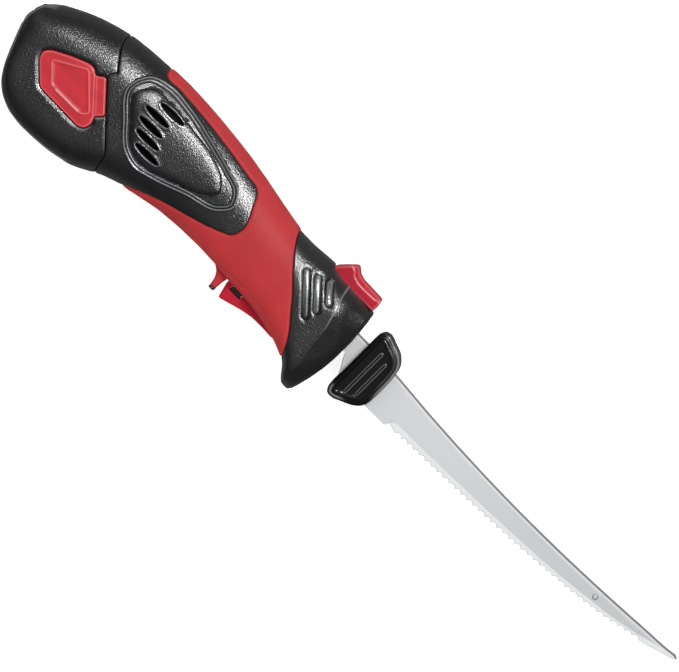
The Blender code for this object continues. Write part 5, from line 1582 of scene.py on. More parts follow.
@dataclass
class Battery:
    """Rear battery: its moulded case, the two latches, cells and jack."""

    shop: Workshop
    form: BodyForm
    latch_gap: float = 0.4
    pocket_floor: float = 17.0
    pocket_chamfer: float = 1.1
    band_width: float = 3.0
    band_fall: float = 0.75
    jack_way: tuple[float, float] = (11.0, 4.25)        # height, radius
    latch_face: float = 21.9
    latch_floor: float = 19.5
    spring_post: tuple[float, float, float] = (-203.0, -5.0, 1.9)
    screw_head: float = 2.3
    core_inset: float = 1.85
    screw_sinks: Line = ((-226.0, 22.0), (-232.0, -25.0), (-176.0, -31.0))
    sink_radius: float = 3.0
    sink_floor: float = -9.0

    def __post_init__(self) -> None:
        """Draw the outlines."""
        self.seam = Outline(SEAM_LINE, closed=False, fillet=1.4)
        self.latch = Outline(LATCH_LINE, fillet=1.6)
        self.pocket = Outline([tuple(p) for p in self.latch.moved(self.latch_gap)],
                              rounded=False, spacing=2.0)
        self.panel = Outline(LATCH_PANEL, fillet=1.3)
        self.crease = Outline(LATCH_CREASE, closed=False, rounded=False)
        self.bar = capsule((-208.0, -12.3), (-192.0, -12.3), 1.9)
        belly = [(x, bottom) for x, _, bottom, _, _ in STATIONS[:11]]
        rear = [(-243.0, 18.3), (-246.0, 16.0), (-249.0, 8.0)]
        self.belly = Outline(rear + belly, closed=False)

    def _relief(self, x: Array, y: Array, z: Array) -> Array:
        """Height of the case over the form.

        Args:
            x: Places along the knife.
            y: Heights on the flank.
            z: How far out the form stands there.

        Returns:
            The heights.
        """
        away = self.seam.distance(x, y) - SEAM_GAP
        height = -0.55 * (1 - unit_round(away, 0.6))
        edge = np.abs(self.belly.distance(x, y))
        height -= self.band_fall * np.clip(1 - edge / self.band_width, 0.0, 1.0)
        height -= 0.35 * ridge(edge, self.band_width + 0.4, 0.9)
        into = self.pocket.distance(x, y)
        height -= 0.7 * np.clip(1 - into / self.pocket_chamfer, 0.0, 1.0) * (into > 0)
        return np.where(into <= 0.0, self.pocket_floor - z, height)

    def _shine(self, x: Array, y: Array) -> Array:
        """Where highlights are painted on the case's edges.

        Args:
            x: Places along the knife.
            y: Heights on the flank.

        Returns:
            How much, from 0 to 1.
        """
        into = self.pocket.distance(x, y)
        # painted highlight on the pocket's chamfer, stronger on its lower side, and on the band
        # along the rear edge
        faces = np.clip(self.pocket.below(x, y) + 0.25, 0.0, 1.0)
        edge = np.abs(self.belly.distance(x, y))
        return (0.9 * ridge(into, self.pocket_chamfer / 2, 1.2) * faces
                + 0.42 * (1 - soft_step(edge, self.band_width - 0.6, self.band_width)))

    def case(self) -> None:
        """Both halves of the case, over the inner walls that the seam shows."""
        skin = Skin(
            self.form, STATIONS[0][0], -160.0,
            contours=((self.seam, (SEAM_GAP, SEAM_GAP + 0.15, SEAM_GAP + 0.6)),
                      (self.pocket, (-0.05, 0.05, 0.55, self.pocket_chamfer)),
                      (self.belly, tuple(-self.band_width - step
                                         for step in (-0.6, 0.0, 0.4, 0.85)))),
            inside=lambda x, y: self.seam.distance(x, y) > SEAM_GAP, relief=self._relief)
        for side in Side:
            half = skin.half(self.shop, "case", side, closed_at=(STATIONS[0][0],))
            height, radius = self.jack_way
            x, y, post = self.spring_post
            tools = [self.shop.rod("jack_way", (-246.0, height, 0.0), radius, 20.0, "X"),
                     self.shop.rod("well", (x, y, side.value * self.pocket_floor),
                                   post + 2.1, 8.0)]
            if side is Side.LEFT:
                tools += [self.shop.rod("sink", (x, y, self.sink_floor - 10.0),
                                        self.sink_radius, 20.0) for x, y in self.screw_sinks]
            self.shop.boolean(half, "DIFFERENCE", *tools)
            self.shop.mark(half, rim=self._shine)
            self.shop.finish(half, "battery_shell_" + side.word, HOUSING, "black_housing",
                             "battery", ["battery_case_" + side.word])

    def core(self) -> None:
        """Inner layer of the case with its pocket, tongue and front wall."""
        for side in Side:
            made = self.form.within(self.shop, "battery_case_" + side.word, self.core_inset,
                                    STATIONS[0][0] + 1.8, -150.0)
            self.shop.finish(made, "battery_core_" + side.word, HOUSING, "black_housing",
                             "battery", sharp=30.0)

    def _latch_top(self, x: Array, y: Array) -> Array:
        """Height of a latch's face.

        Args:
            x: Places along the knife.
            y: Heights on the flank.

        Returns:
            The heights over the middle plane.
        """
        into = -self.latch.distance(x, y)
        height = self.latch_face - 1.1 * (1 - unit_round(into, 1.5))
        tab = -self.crease.distance(x, y)
        height -= 0.75 * soft_step(tab, -0.1, 0.7)
        height += 0.28 * ridge(tab, -0.6, 1.0)
        panel = self.panel.distance(x, y)
        height += 0.30 * ridge(panel, 0.35, 1.1) - 0.35 * soft_step(-panel, 0.1, 1.1)
        return height + 0.75 * unit_round(-self.bar.distance(x, y), 0.8)

    def _latch_shine(self, x: Array, y: Array) -> Array:
        """Where highlights are painted on a latch's raised lines.

        Args:
            x: Places along the knife.
            y: Heights on the flank.

        Returns:
            How much, from 0 to 1.
        """
        return (0.5 * ridge(self.panel.distance(x, y), 0.35, 0.95)
                + 1.1 * ridge(self.bar.distance(x, y), -0.7, 1.3)
                + 0.4 * ridge(-self.crease.distance(x, y), -0.6, 0.9)
                + 0.35 * ridge(-self.latch.distance(x, y), 0.9, 0.9))

    def latches(self) -> None:
        """The two latches in their pockets."""
        slab = Slab(self.latch, top=self._latch_top,
                    bottom=level(self.latch_floor),
                    rim=(-0.1, -0.3, -0.6, -1.0, -1.5),
                    contours=((self.panel, (0.9, 0.35, -0.1, -0.6, -1.1)),
                              (self.bar, (0.0, -0.3, -0.7)),
                              (self.crease, (0.1, -0.3, -0.7, 0.6, 1.1))))
        x, y, radius = self.spring_post
        for side in Side:
            made = slab.make(self.shop, "latch", side)
            post = self.shop.rod("post", (x, y, side.value * (self.latch_floor - 0.75)),
                                 radius, 2.5)
            self.shop.boolean(made, "UNION", post)
            self.shop.mark(made, rim=self._latch_shine)
            self.shop.finish(made, "latch_plate_" + side.word, LATCH, "red_button",
                             "latch_" + side.word, ["latch_" + side.word], sharp=60.0)

    def jack(self) -> None:
        """Charging jack, its mouth flush with the slanted rear."""
        made = self.form.within(self.shop, "charging_jack", 0.3, STATIONS[0][0], -230.0)
        self.shop.finish(made, "charge_socket", HOUSING, "black_housing", "battery",
                         ["charging_jack"], sharp=30.0)

    def build(self) -> None:
        """Make every piece of the battery."""
        self.case()
        self.core()
        self.latches()
        self.jack()
        set_screws(self.shop, "battery", len(self.screw_sinks), self.screw_head, "battery", 11)
        self.shop.dress(SLEEVE, "battery_cell_1", "battery_cell_2")
        self.shop.dress(BOARD, "charge_board")
        self.shop.dress(SPRING, "latch_spring_right", "latch_spring_left")


# Handle

GRIP_REAR: Line = (
    (-174.0, 60.0), (-174.0, 38.5), (-172.5, 35.4), (-160.0, 34.1), (-145.0, 33.0),
    (-120.0, 30.0), (-101.0, 26.9), (-95.5, 26.1), (-92.3, 23.8), (-89.6, 18.4),
    (-85.7, 10.6), (-84.6, 6.3), (-85.1, 2.0), (-87.2, -1.6), (-90.5, -3.3), (-100.0, -7.3),
    (-110.0, -10.5), (-128.0, -16.0), (-142.5, -22.3), (-150.0, -26.5), (-156.0, -60.0),
)
GRIP_FRONT: Line = (
    (-18.0, -60.0), (-20.5, -34.0), (-22.5, -27.5), (-25.7, -20.1), (-29.3, -14.4),
    (-34.3, -8.7), (-39.3, -2.3), (-50.0, 9.1), (-55.0, 14.9), (-60.0, 21.3),
    (-63.6, 27.4), (-66.0, 34.0), (-70.0, 60.0),
)
PANEL: Line = (
    (-181.4, 17.0), (-177.1, 27.7), (-165.7, 31.6), (-150.0, 30.7), (-130.0, 26.6),
    (-110.0, 21.3), (-101.5, 18.2), (-96.8, 9.2), (-100.7, 3.8), (-120.0, -3.1),
    (-140.0, -10.1), (-149.0, -12.1), (-158.0, -9.6), (-170.0, 1.3),
)
DOME: Line = (
    (-176.8, 17.0), (-171.0, 25.6), (-160.0, 26.3), (-140.0, 24.3), (-120.0, 20.6),
    (-110.7, 15.6), (-107.1, 9.9), (-112.0, 4.0), (-130.0, -3.3), (-147.0, -8.6),
    (-155.0, -7.2), (-168.0, 4.5),
)
NOSE_FRONT: Line = (
    (-4.4, 60.0), (-4.2, 22.6), (-3.1, 21.5), (-1.8, 15.0), (-0.6, 3.0), (-0.7, -10.0),
    (-1.4, -18.0), (-2.9, -26.4), (-5.0, -35.0), (-6.6, -40.3), (-10.0, -60.0),
)
GRIP_LIP: Line = (
    (-79.0, -18.9), (-62.0, -17.1), (-48.6, -18.4), (-33.4, -22.6), (-23.9, -26.6),
)
NOSE_RIDGE: Line = (
    (-24.5, 40.0), (-22.5, 23.1), (-21.1, 17.0), (-19.7, 12.0), (-17.8, 7.0), (-16.1, 0.9),
    (-14.7, -8.0), (-13.9, -14.1), (-12.2, -23.0), (-11.7, -38.0), (-11.5, -60.0),
)
SPUR: Line = (
    (-88.0, -14.0), (-84.5, -19.4), (-82.0, -20.1), (-79.3, -22.1), (-77.5, -25.0),
    (-76.9, -28.0), (-76.7, -29.6), (-73.2, -29.6), (-73.0, -26.4), (-72.2, -22.0),
    (-72.0, -14.0),
)
SPUR_CAP: Line = ((-76.7, -29.7), (-76.5, -31.2), (-73.1, -31.2),
                  (-73.2, -29.7))
TRIGGER_LINE: Line = (
    (-71.0, -22.4), (-68.8, -31.2), (-67.8, -31.5), (-60.7, -29.5), (-55.0, -27.9),
    (-47.9, -26.6), (-40.7, -26.5), (-33.0, -26.9), (-31.0, -25.8), (-30.6, -21.0),
    (-32.6, -17.9), (-35.6, -17.6), (-48.0, -18.4), (-69.6, -18.2),
)
BUTTON_LINE: Line = (
    (-35.4, 22.0), (-35.4, 25.9), (-27.8, 33.6), (-26.7, 34.3), (-25.6, 33.8),
    (-23.0, 31.6), (-19.4, 30.5), (-12.0, 30.2), (-4.9, 29.8), (-3.9, 25.0), (-4.3, 22.0),
)
BUTTON_CREASE: Line = (
    (-29.5, 31.9), (-26.6, 31.2), (-24.4, 28.9), (-20.6, 27.6), (-12.0, 27.4),
    (-6.1, 28.0), (-3.6, 28.6),
)


@dataclass
class Handle:
    """Housing halves with their panel, vents and nose, under a two-part soft grip."""

    shop: Workshop
    form: BodyForm
    vents: Line = ((-154.6, 22.2), (-159.5, 15.7), (-158.0, 9.3),
                   (-154.5, 3.3), (-149.3, -2.6))
    vent_size: Point = (16.8, 3.5)
    bars: tuple[tuple[Point, Point], ...] = (((-44.2, 13.5), (-28.2, -3.8)),
                                             ((-37.7, 15.6), (-26.0, 2.4)),
                                             ((-30.9, 17.8), (-23.9, 9.8)))
    bar_width: float = 3.2
    bar_height: float = 0.6
    moat: float = 1.1
    screen_line: Line = ((-172.0, 14.0), (-168.0, 24.5), (-148.0, 24.5),
                         (-142.0, 12.0), (-140.0, -3.0), (-150.0, -7.0),
                         (-160.0, -3.0))
    weave: Point = (1.4, 16.6)      # pitch of the wires and height over the middle plane
    seat: float = 1.9
    grip_proud: float = 0.5
    nose_fall: float = 0.4
    nose_lean: float = 0.12
    core_inset: float = 1.85
    spur_half: float = 7.5
    trigger_half: float = 6.3
    button_half: float = 7.4
    screw_head: float = 2.3
    screw_sinks: Line = ((-186.0, 27.0), (-156.0, -18.5), (-100.0, -12.3),
                         (-99.5, 22.5), (-80.0, -12.3), (-46.0, 19.0),
                         (-18.0, -17.0))
    trigger_slot: tuple[Place, Place] = ((-71.8, -60.0, -7.0), (-30.0, -14.0, 7.0))
    trigger_hole: tuple[Place, float] = ((-34.0, -20.5, 0.0), 1.55)
    lock_way: tuple[Place, Place] = ((-67.3, -24.4, -20.0), (-59.7, -21.0, 20.0))
    button_well: tuple[Place, Place] = ((-36.0, 19.0, -8.0), (5.0, 60.0, 8.0))
    button_leg: tuple[Place, Place] = ((-21.0, 13.5, -4.8), (-12.0, 23.0, 4.8))

    def __post_init__(self) -> None:
        """Draw the outlines."""
        self.seam = Outline(SEAM_LINE, closed=False, fillet=1.4)
        self.grip_rear = Outline(GRIP_REAR, closed=False)
        self.grip_front = Outline(GRIP_FRONT, closed=False)
        self.front = Outline(NOSE_FRONT, closed=False)
        self.lip = Outline(GRIP_LIP, closed=False)
        self.nose_ridge = Outline(NOSE_RIDGE, closed=False)
        self.panel = Outline(PANEL, spacing=0.9)
        self.dome = Outline(DOME, spacing=0.9)
        length, width = self.vent_size
        turn = np.linspace(0.0, math.tau, 37)[:-1]
        self.vent_lines = [Outline([(x + length / 2 * math.cos(a), y + width / 2 * math.sin(a))
                                    for a in turn], rounded=False) for x, y in self.vents]
        self.bar_lines = [capsule(*ends, self.bar_width) for ends in self.bars]
        self.spur = Outline(SPUR, fillet=1.0)
        self.trigger_line = Outline(TRIGGER_LINE, fillet=0.9)
        self.button_line = Outline(BUTTON_LINE, fillet=0.7)
        self.button_crease = Outline(BUTTON_CREASE, closed=False)

    def _grip_distance(self, x: Array, y: Array) -> Array:
        """Distance from the soft grip's outline, negative within it."""
        return np.maximum(self.grip_rear.distance(x, y), self.grip_front.distance(x, y))

    def _relief(self, x: Array, y: Array, z: Array) -> Array:
        """Height of the housing over the form.

        Args:
            x: Places along the knife.
            y: Heights on the flank.
            z: How far out the form stands there.

        Returns:
            The heights.
        """
        height = -0.55 * (1 - unit_round(-self.seam.distance(x, y) - SEAM_GAP, 0.6))
        height -= 0.8 * (1 - unit_round(self.front.distance(x, y), 0.9))
        across = self.panel.distance(x, y)
        height += 0.42 * ridge(across, 0.1, 1.0) + 0.34 * ridge(across, -1.55, 1.0)
        height -= 0.45 * ridge(across, -0.75, 0.8)
        dome = self.dome.distance(x, y)
        inner = -self.moat * soft_step(-across, 1.9, 2.7)
        crown = -self.moat + (self.moat + 0.35) * unit_round(-dome + 0.3, 4.5)
        height += np.where(dome < 0.3, crown, inner)
        for vent in self.vent_lines:
            rim = vent.distance(x, y)
            height += 0.32 * ridge(rim, 0.6, 1.3) * (rim > -0.3)
            height -= 0.5 * (1 - unit_round(rim, 0.5)) * (rim < 0.6)
        for bar in self.bar_lines:
            inside = bar.distance(x, y)
            height += self.bar_height * unit_round(-inside, 1.1)
            height -= 0.6 * ridge(inside, 0.45, 1.0)
        fore = -self.nose_ridge.distance(x, y)
        lean = self.nose_lean * np.clip(fore, 0.0, None) * (1 - soft_step(y, 4.0, 20.0))
        height -= np.maximum(z - self._facet(fore), lean)
        height += 0.14 * ridge(fore, -0.3, 1.2)
        grip = self._grip_distance(x, y)
        height -= 0.35 * (1 - unit_round(grip, 0.5))
        return np.where(grip <= 0.0, -self.seat, height)

    def _facet(self, fore: Array) -> Array:
        """How far out the nose's front facet stands, by the distance before its ridge."""
        return self.form.flank - self.nose_fall * np.clip(fore, 0.0, None)

    def _shine(self, x: Array, y: Array) -> Array:
        """Where highlights are painted on the housing's edges.

        Args:
            x: Places along the knife.
            y: Heights on the flank.

        Returns:
            How much, from 0 to 1.
        """
        across = self.panel.distance(x, y)
        lit = ridge(across, 0.1, 0.95) + 0.85 * ridge(across, -1.55, 0.75)
        for vent in self.vent_lines:
            # painted highlights: the vents' stronger on their lower side, the bars' and the nose
            # ridge's only on their upper side
            lit += (0.5 + 0.3 * vent.below(x, y)) * ridge(vent.distance(x, y), 0.25, 0.9)
        for bar in self.bar_lines:
            lit += 0.75 * ridge(bar.distance(x, y), -0.6, 1.1) * soft_step(y, -6.0, 8.0)
        fore = -self.nose_ridge.distance(x, y)
        lit += 0.75 * ridge(fore, 0.0, 1.3) * soft_step(y, -8.0, 9.0)
        return lit * (self._grip_distance(x, y) > 0.0)

    def _cutters(self, side: Side) -> list[Part]:
        """Slot of the trigger, and the screws' sinks on the left.

        Args:
            side: Which half they cut.

        Returns:
            The cutters.
        """
        tools = [self.shop.block("trigger_slot", *self.trigger_slot)]
        if side is Side.LEFT:
            tools += [self.shop.rod("sink", (x, y, -19.0), 3.0, 20.0)
                      for x, y in self.screw_sinks]
        return tools

    def housing(self) -> None:
        """Both halves of the hard housing."""
        vents = tuple((vent, (0.0, 0.25, 0.6, 1.2)) for vent in self.vent_lines)
        bars = tuple((bar, (0.8, 0.4, 0.0, -0.15, -0.5, -1.0)) for bar in self.bar_lines)
        skin = Skin(
            self.form, -206.0, STATIONS[-1][0],
            contours=((self.seam, (-SEAM_GAP, -SEAM_GAP - 0.15, -SEAM_GAP - 0.6)),
                      (self.front, (0.0, 0.3, 0.9)),
                      (self.grip_rear, (-0.05, 0.05, 0.2, 0.5)),
                      (self.grip_front, (-0.05, 0.05, 0.2, 0.5)),
                      (self.panel, (0.6, 0.1, -0.35, -0.75, -1.15, -1.55, -1.9, -2.7)),
                      (self.dome, (0.3, -0.1, -0.9, -2.2)),
                      (self.nose_ridge, (0.65, 0.0, -0.65))) + vents + bars,
            inside=self._on_housing, relief=self._relief)
        for side in Side:
            half = skin.half(self.shop, "housing", side)
            well = self.shop.block("button_well", *self.button_well)
            self.shop.boolean(half, "DIFFERENCE", well, *self._cutters(side))
            self.shop.mark(half, rim=self._shine)
            self.shop.finish(half, "housing_shell_" + side.word, HOUSING, "black_housing",
                             "handle", ["housing_" + side.word])

    def _on_housing(self, x: Array, y: Array) -> Array:
        """Whether places lie on the hard housing and outside its vents.

        Args:
            x: Places along the knife.
            y: Heights on the flank.

        Returns:
            Whether each does.
        """
        found = (self.seam.distance(x, y) < -SEAM_GAP) & (self.front.distance(x, y) > 0.0)
        for vent in self.vent_lines:
            found &= vent.distance(x, y) > 0.0
        return found

    def _grip_relief(self, x: Array, y: Array, z: Array) -> Array:
        """Height of the soft grip over the form, with rolled edges.

        Args:
            x: Places along the knife.
            y: Heights on the flank.
            z: How far out the form stands there, as every relief is given; not used.

        Returns:
            The heights.
        """
        inner = -self._grip_distance(x, y)
        lip = self.lip.distance(x, y)
        return (-1.2 + (1.2 + self.grip_proud) * unit_round(inner - 0.12, 1.3)
                + 0.22 * ridge(lip, 0.7, 1.3) - 0.32 * ridge(lip, -0.5, 1.1))

    def _spur_top(self, x: Array, y: Array) -> Array:
        """Side of the spur, rounded towards its edges."""
        into = -self.spur.distance(x, y)
        return self.spur_half - 1.3 * (1 - unit_round(into, 1.4))

    def soft_grip(self) -> None:
        """Both halves of the soft grip, with the spur behind the trigger."""
        offsets = (-0.12, -0.25, -0.45, -0.8, -1.42)
        skin = Skin(
            self.form, -180.0, -12.0,
            contours=((self.grip_rear, offsets), (self.grip_front, offsets),
                      (self.lip, (-0.9, -0.5, 0.0, 0.7, 1.2))),
            inside=lambda x, y: self._grip_distance(x, y) < -0.12,
            relief=self._grip_relief, wall=1.3)
        spur = Slab(self.spur, top=self._spur_top,
                    bottom=level(0.08), rim=(-0.15, -0.4, -0.8, -1.4))
        for side in Side:
            half = skin.half(self.shop, "grip", side)
            self.shop.boolean(half, "UNION", spur.make(self.shop, "spur", side))
            self.shop.boolean(half, "DIFFERENCE", *self._cutters(side))
            self.shop.finish(half, "grip_shell_" + side.word, GRIP, "red_soft_grip", "handle",
                             ["soft_grip_" + side.word])
        tip = Outline(SPUR_CAP, fillet=0.4)
        depth = self.spur_half - 0.5
        cap = Slab(tip, top=lambda x, y: depth - 0.5 * (1 + tip.distance(x, y) / 0.5).clip(0),
                   bottom=lambda x, y: -depth + 0.5 * (1 + tip.distance(x, y) / 0.5).clip(0),
                   rim=(-0.2, -0.5), spacing=0.6)
        self.shop.finish(cap.make(self.shop, "spur_cap"), "spur_cap", HOUSING,
                         "black_housing", "handle")

    def core(self) -> None:
        """Inner layer of the housing with its well, ribs and end walls."""
        line = Outline([(-30.0, 60.0), (8.0, 60.0), (8.0, -60.0), (-20.0, -60.0)],
                       rounded=False, spacing=3.0)

        def facet(x: Array, y: Array) -> Array:
            """Where the inner layer is shaved off, under the nose's facet.

            Args:
                x: Places along the knife.
                y: Heights on the flank.

            Returns:
                The heights over the middle plane.
            """
            share = self.form.share_of(x, y)
            spots, _ = self.form.place(np.clip(x, -215.0, STATIONS[-1][0]),
                                       np.clip(share, 0.0, 1.0))
            front = self._facet(-self.nose_ridge.distance(x, y))
            return np.maximum(np.minimum(spots[:, 2], front) - self.core_inset, 3.0)

        shave = Slab(line, top=level(60.0), bottom=facet, rim=())
        for side in Side:
            made = self.form.within(self.shop, "housing_" + side.word, self.core_inset, -210.0,
                                    STATIONS[-1][0])
            self.shop.boolean(made, "DIFFERENCE", shave.make(self.shop, "shave", side))
            self.shop.finish(made, "housing_core_" + side.word, HOUSING, "black_housing",
                             "handle", sharp=30.0)

    def vent_screen(self) -> None:
        """Dust screen behind the vents, its weave set out by Geometry Nodes."""
        outline = Outline(self.screen_line, rounded=False, spacing=4.0)
        pitch, depth = self.weave
        for side in Side:
            x, y = outline.spread(pitch)
            keep = outline.distance(x, y) < -pitch
            spots = np.stack((x[keep], y[keep],
                              np.full(int(keep.sum()), side.value * depth)), axis=1)
            unit = self.shop.block("wire", (-pitch * 0.46, -0.2, -0.2),
                                   (pitch * 0.46, 0.2, 0.2), 0.08, 1)
            made = repeated(self.shop, "weave", unit, spots, HOUSING, lean=math.radians(30))
            sheet = self.shop.plate("sheet", outline.line, *sorted(
                (side.value * (depth - 0.25), side.value * (depth - 0.9))))
            merged = bmesh.new()
            merged.from_mesh(made.data)
            merged.from_mesh(sheet.data)
            bpy.data.objects.remove(made)
            bpy.data.objects.remove(sheet)
            both = self.shop.from_bmesh("vent_screen", merged)
            self.shop.finish(both, "vent_screen_" + side.word, SCREEN, "black_housing",
                             "handle")

    def trigger(self) -> None:
        """Trigger with its hole, lock way and spring seat."""
        def face(x: Array, y: Array) -> Array:
            """Side of the trigger, rounded towards its edges."""
            into = -self.trigger_line.distance(x, y)
            return self.trigger_half - 1.2 * (1 - unit_round(into, 1.5))

        slab = Slab(self.trigger_line, top=face, bottom=lambda x, y: -face(x, y),
                    rim=(-0.15, -0.4, -0.9, -1.5), spacing=1.0)
        made = slab.make(self.shop, "trigger")
        self.shop.boolean(made, "DIFFERENCE",
                          self.shop.rod("pin_hole", *self.trigger_hole, 30.0),
                          self.shop.block("lock_way", *self.lock_way),
                          self.shop.rod("spring_seat", (-50.0, -18.2, 0.0), 3.0, 4.0, "Y"))
        self.shop.finish(made, "trigger_lever", BUTTON, "red_button", "trigger", ["trigger"])

    def button(self) -> None:
        """Blade release with a hollowed thumb face, and the leg under it."""
        def face(x: Array, y: Array) -> Array:
            """Side of the button, hollowed above its crease.

            Args:
                x: Places along the knife.
                y: Heights on the flank.

            Returns:
                The heights over the middle plane.
            """
            into = -self.button_line.distance(x, y)
            high = -self.button_crease.distance(x, y)
            height = self.button_half - 0.7 * (1 - unit_round(into, 0.9))
            return height - 0.85 * np.clip(high + 0.15, 0.0, 3.2)

        slab = Slab(self.button_line, top=face, bottom=lambda x, y: -face(x, y),
                    rim=(-0.12, -0.3, -0.6, -0.9), spacing=0.9,
                    contours=((self.button_crease, (0.15, -0.15)),))
        made = slab.make(self.shop, "button")
        # painted highlights on the crease and inside the outline
        self.shop.mark(made, rim=lambda x, y: (
            0.4 * ridge(self.button_crease.distance(x, y), 0.0, 0.8)
            + 0.3 * ridge(self.button_line.distance(x, y), -0.6, 1.0)))
        self.shop.boolean(made, "UNION", self.shop.block("leg", *self.button_leg, 0.5))
        self.shop.finish(made, "release_thumb_button", BUTTON, "red_button", "button",
                         ["release_button"])

    def build(self) -> None:
        """Make every piece of the handle."""
        self.housing()
        self.core()
        self.vent_screen()
        self.soft_grip()
        self.trigger()
        self.button()
        set_screws(self.shop, "housing", len(self.screw_sinks), self.screw_head, "handle", 5)
        self.shop.dress(HOUSING, "trigger_lock", "micro_switch", "motor_end_cap")


# Cutting head and drive

FIRST_TOOTH = 50.8
LAST_TOOTH = 222.6
BLADE_SPINE: Line = (
    (-19.4, 7.9), (7.0, 7.9), (29.0, 6.6), (60.0, 4.1), (90.0, 2.5), (115.0, 1.7),
    (150.0, 1.6), (180.0, 2.4), (200.0, 3.3), (220.0, 4.5), (240.0, 5.8), (242.6, 6.2),
    (244.5, 5.2),
)
BLADE_EDGE: Line = (
    (-19.4, -4.6), (0.7, -4.6), (6.8, -15.7), (9.0, -17.6), (43.5, -17.6), (45.0, -14.9),
    (50.8, -16.8), (77.4, -16.1), (108.5, -15.1), (126.3, -14.3), (144.0, -13.4),
    (161.7, -12.1), (179.3, -10.5), (196.7, -8.4), (213.9, -4.9), (222.6, -2.9),
    (230.0, -0.9), (240.0, 2.1), (242.9, 3.0), (244.5, 4.0),
)
BLADE_GRIND: Line = (
    (-19.4, -4.6), (0.7, -4.6), (6.8, -15.6), (9.0, -17.5), (43.5, -17.4), (46.0, -12.1),
    (75.0, -11.8), (115.0, -10.6), (155.0, -8.7), (175.0, -6.9), (200.0, -4.1),
    (220.0, -0.3), (235.5, 3.9), (242.6, 5.0), (244.5, 5.1),
)
GRIP_LINE: Line = (
    (7.0, 13.0), (7.4, 16.2), (8.9, 18.6), (11.2, 19.4), (17.6, 17.7), (23.3, 15.3),
    (26.4, 12.5), (27.9, 10.0), (29.0, 5.0), (29.4, -2.0), (29.3, -9.3), (28.6, -15.7),
    (27.1, -18.6), (24.3, -21.1), (17.9, -24.3), (12.1, -26.4), (9.3, -26.1), (7.3, -23.5),
    (6.8, -20.0), (7.0, -12.0), (7.0, 0.0), (7.0, 8.0),
)


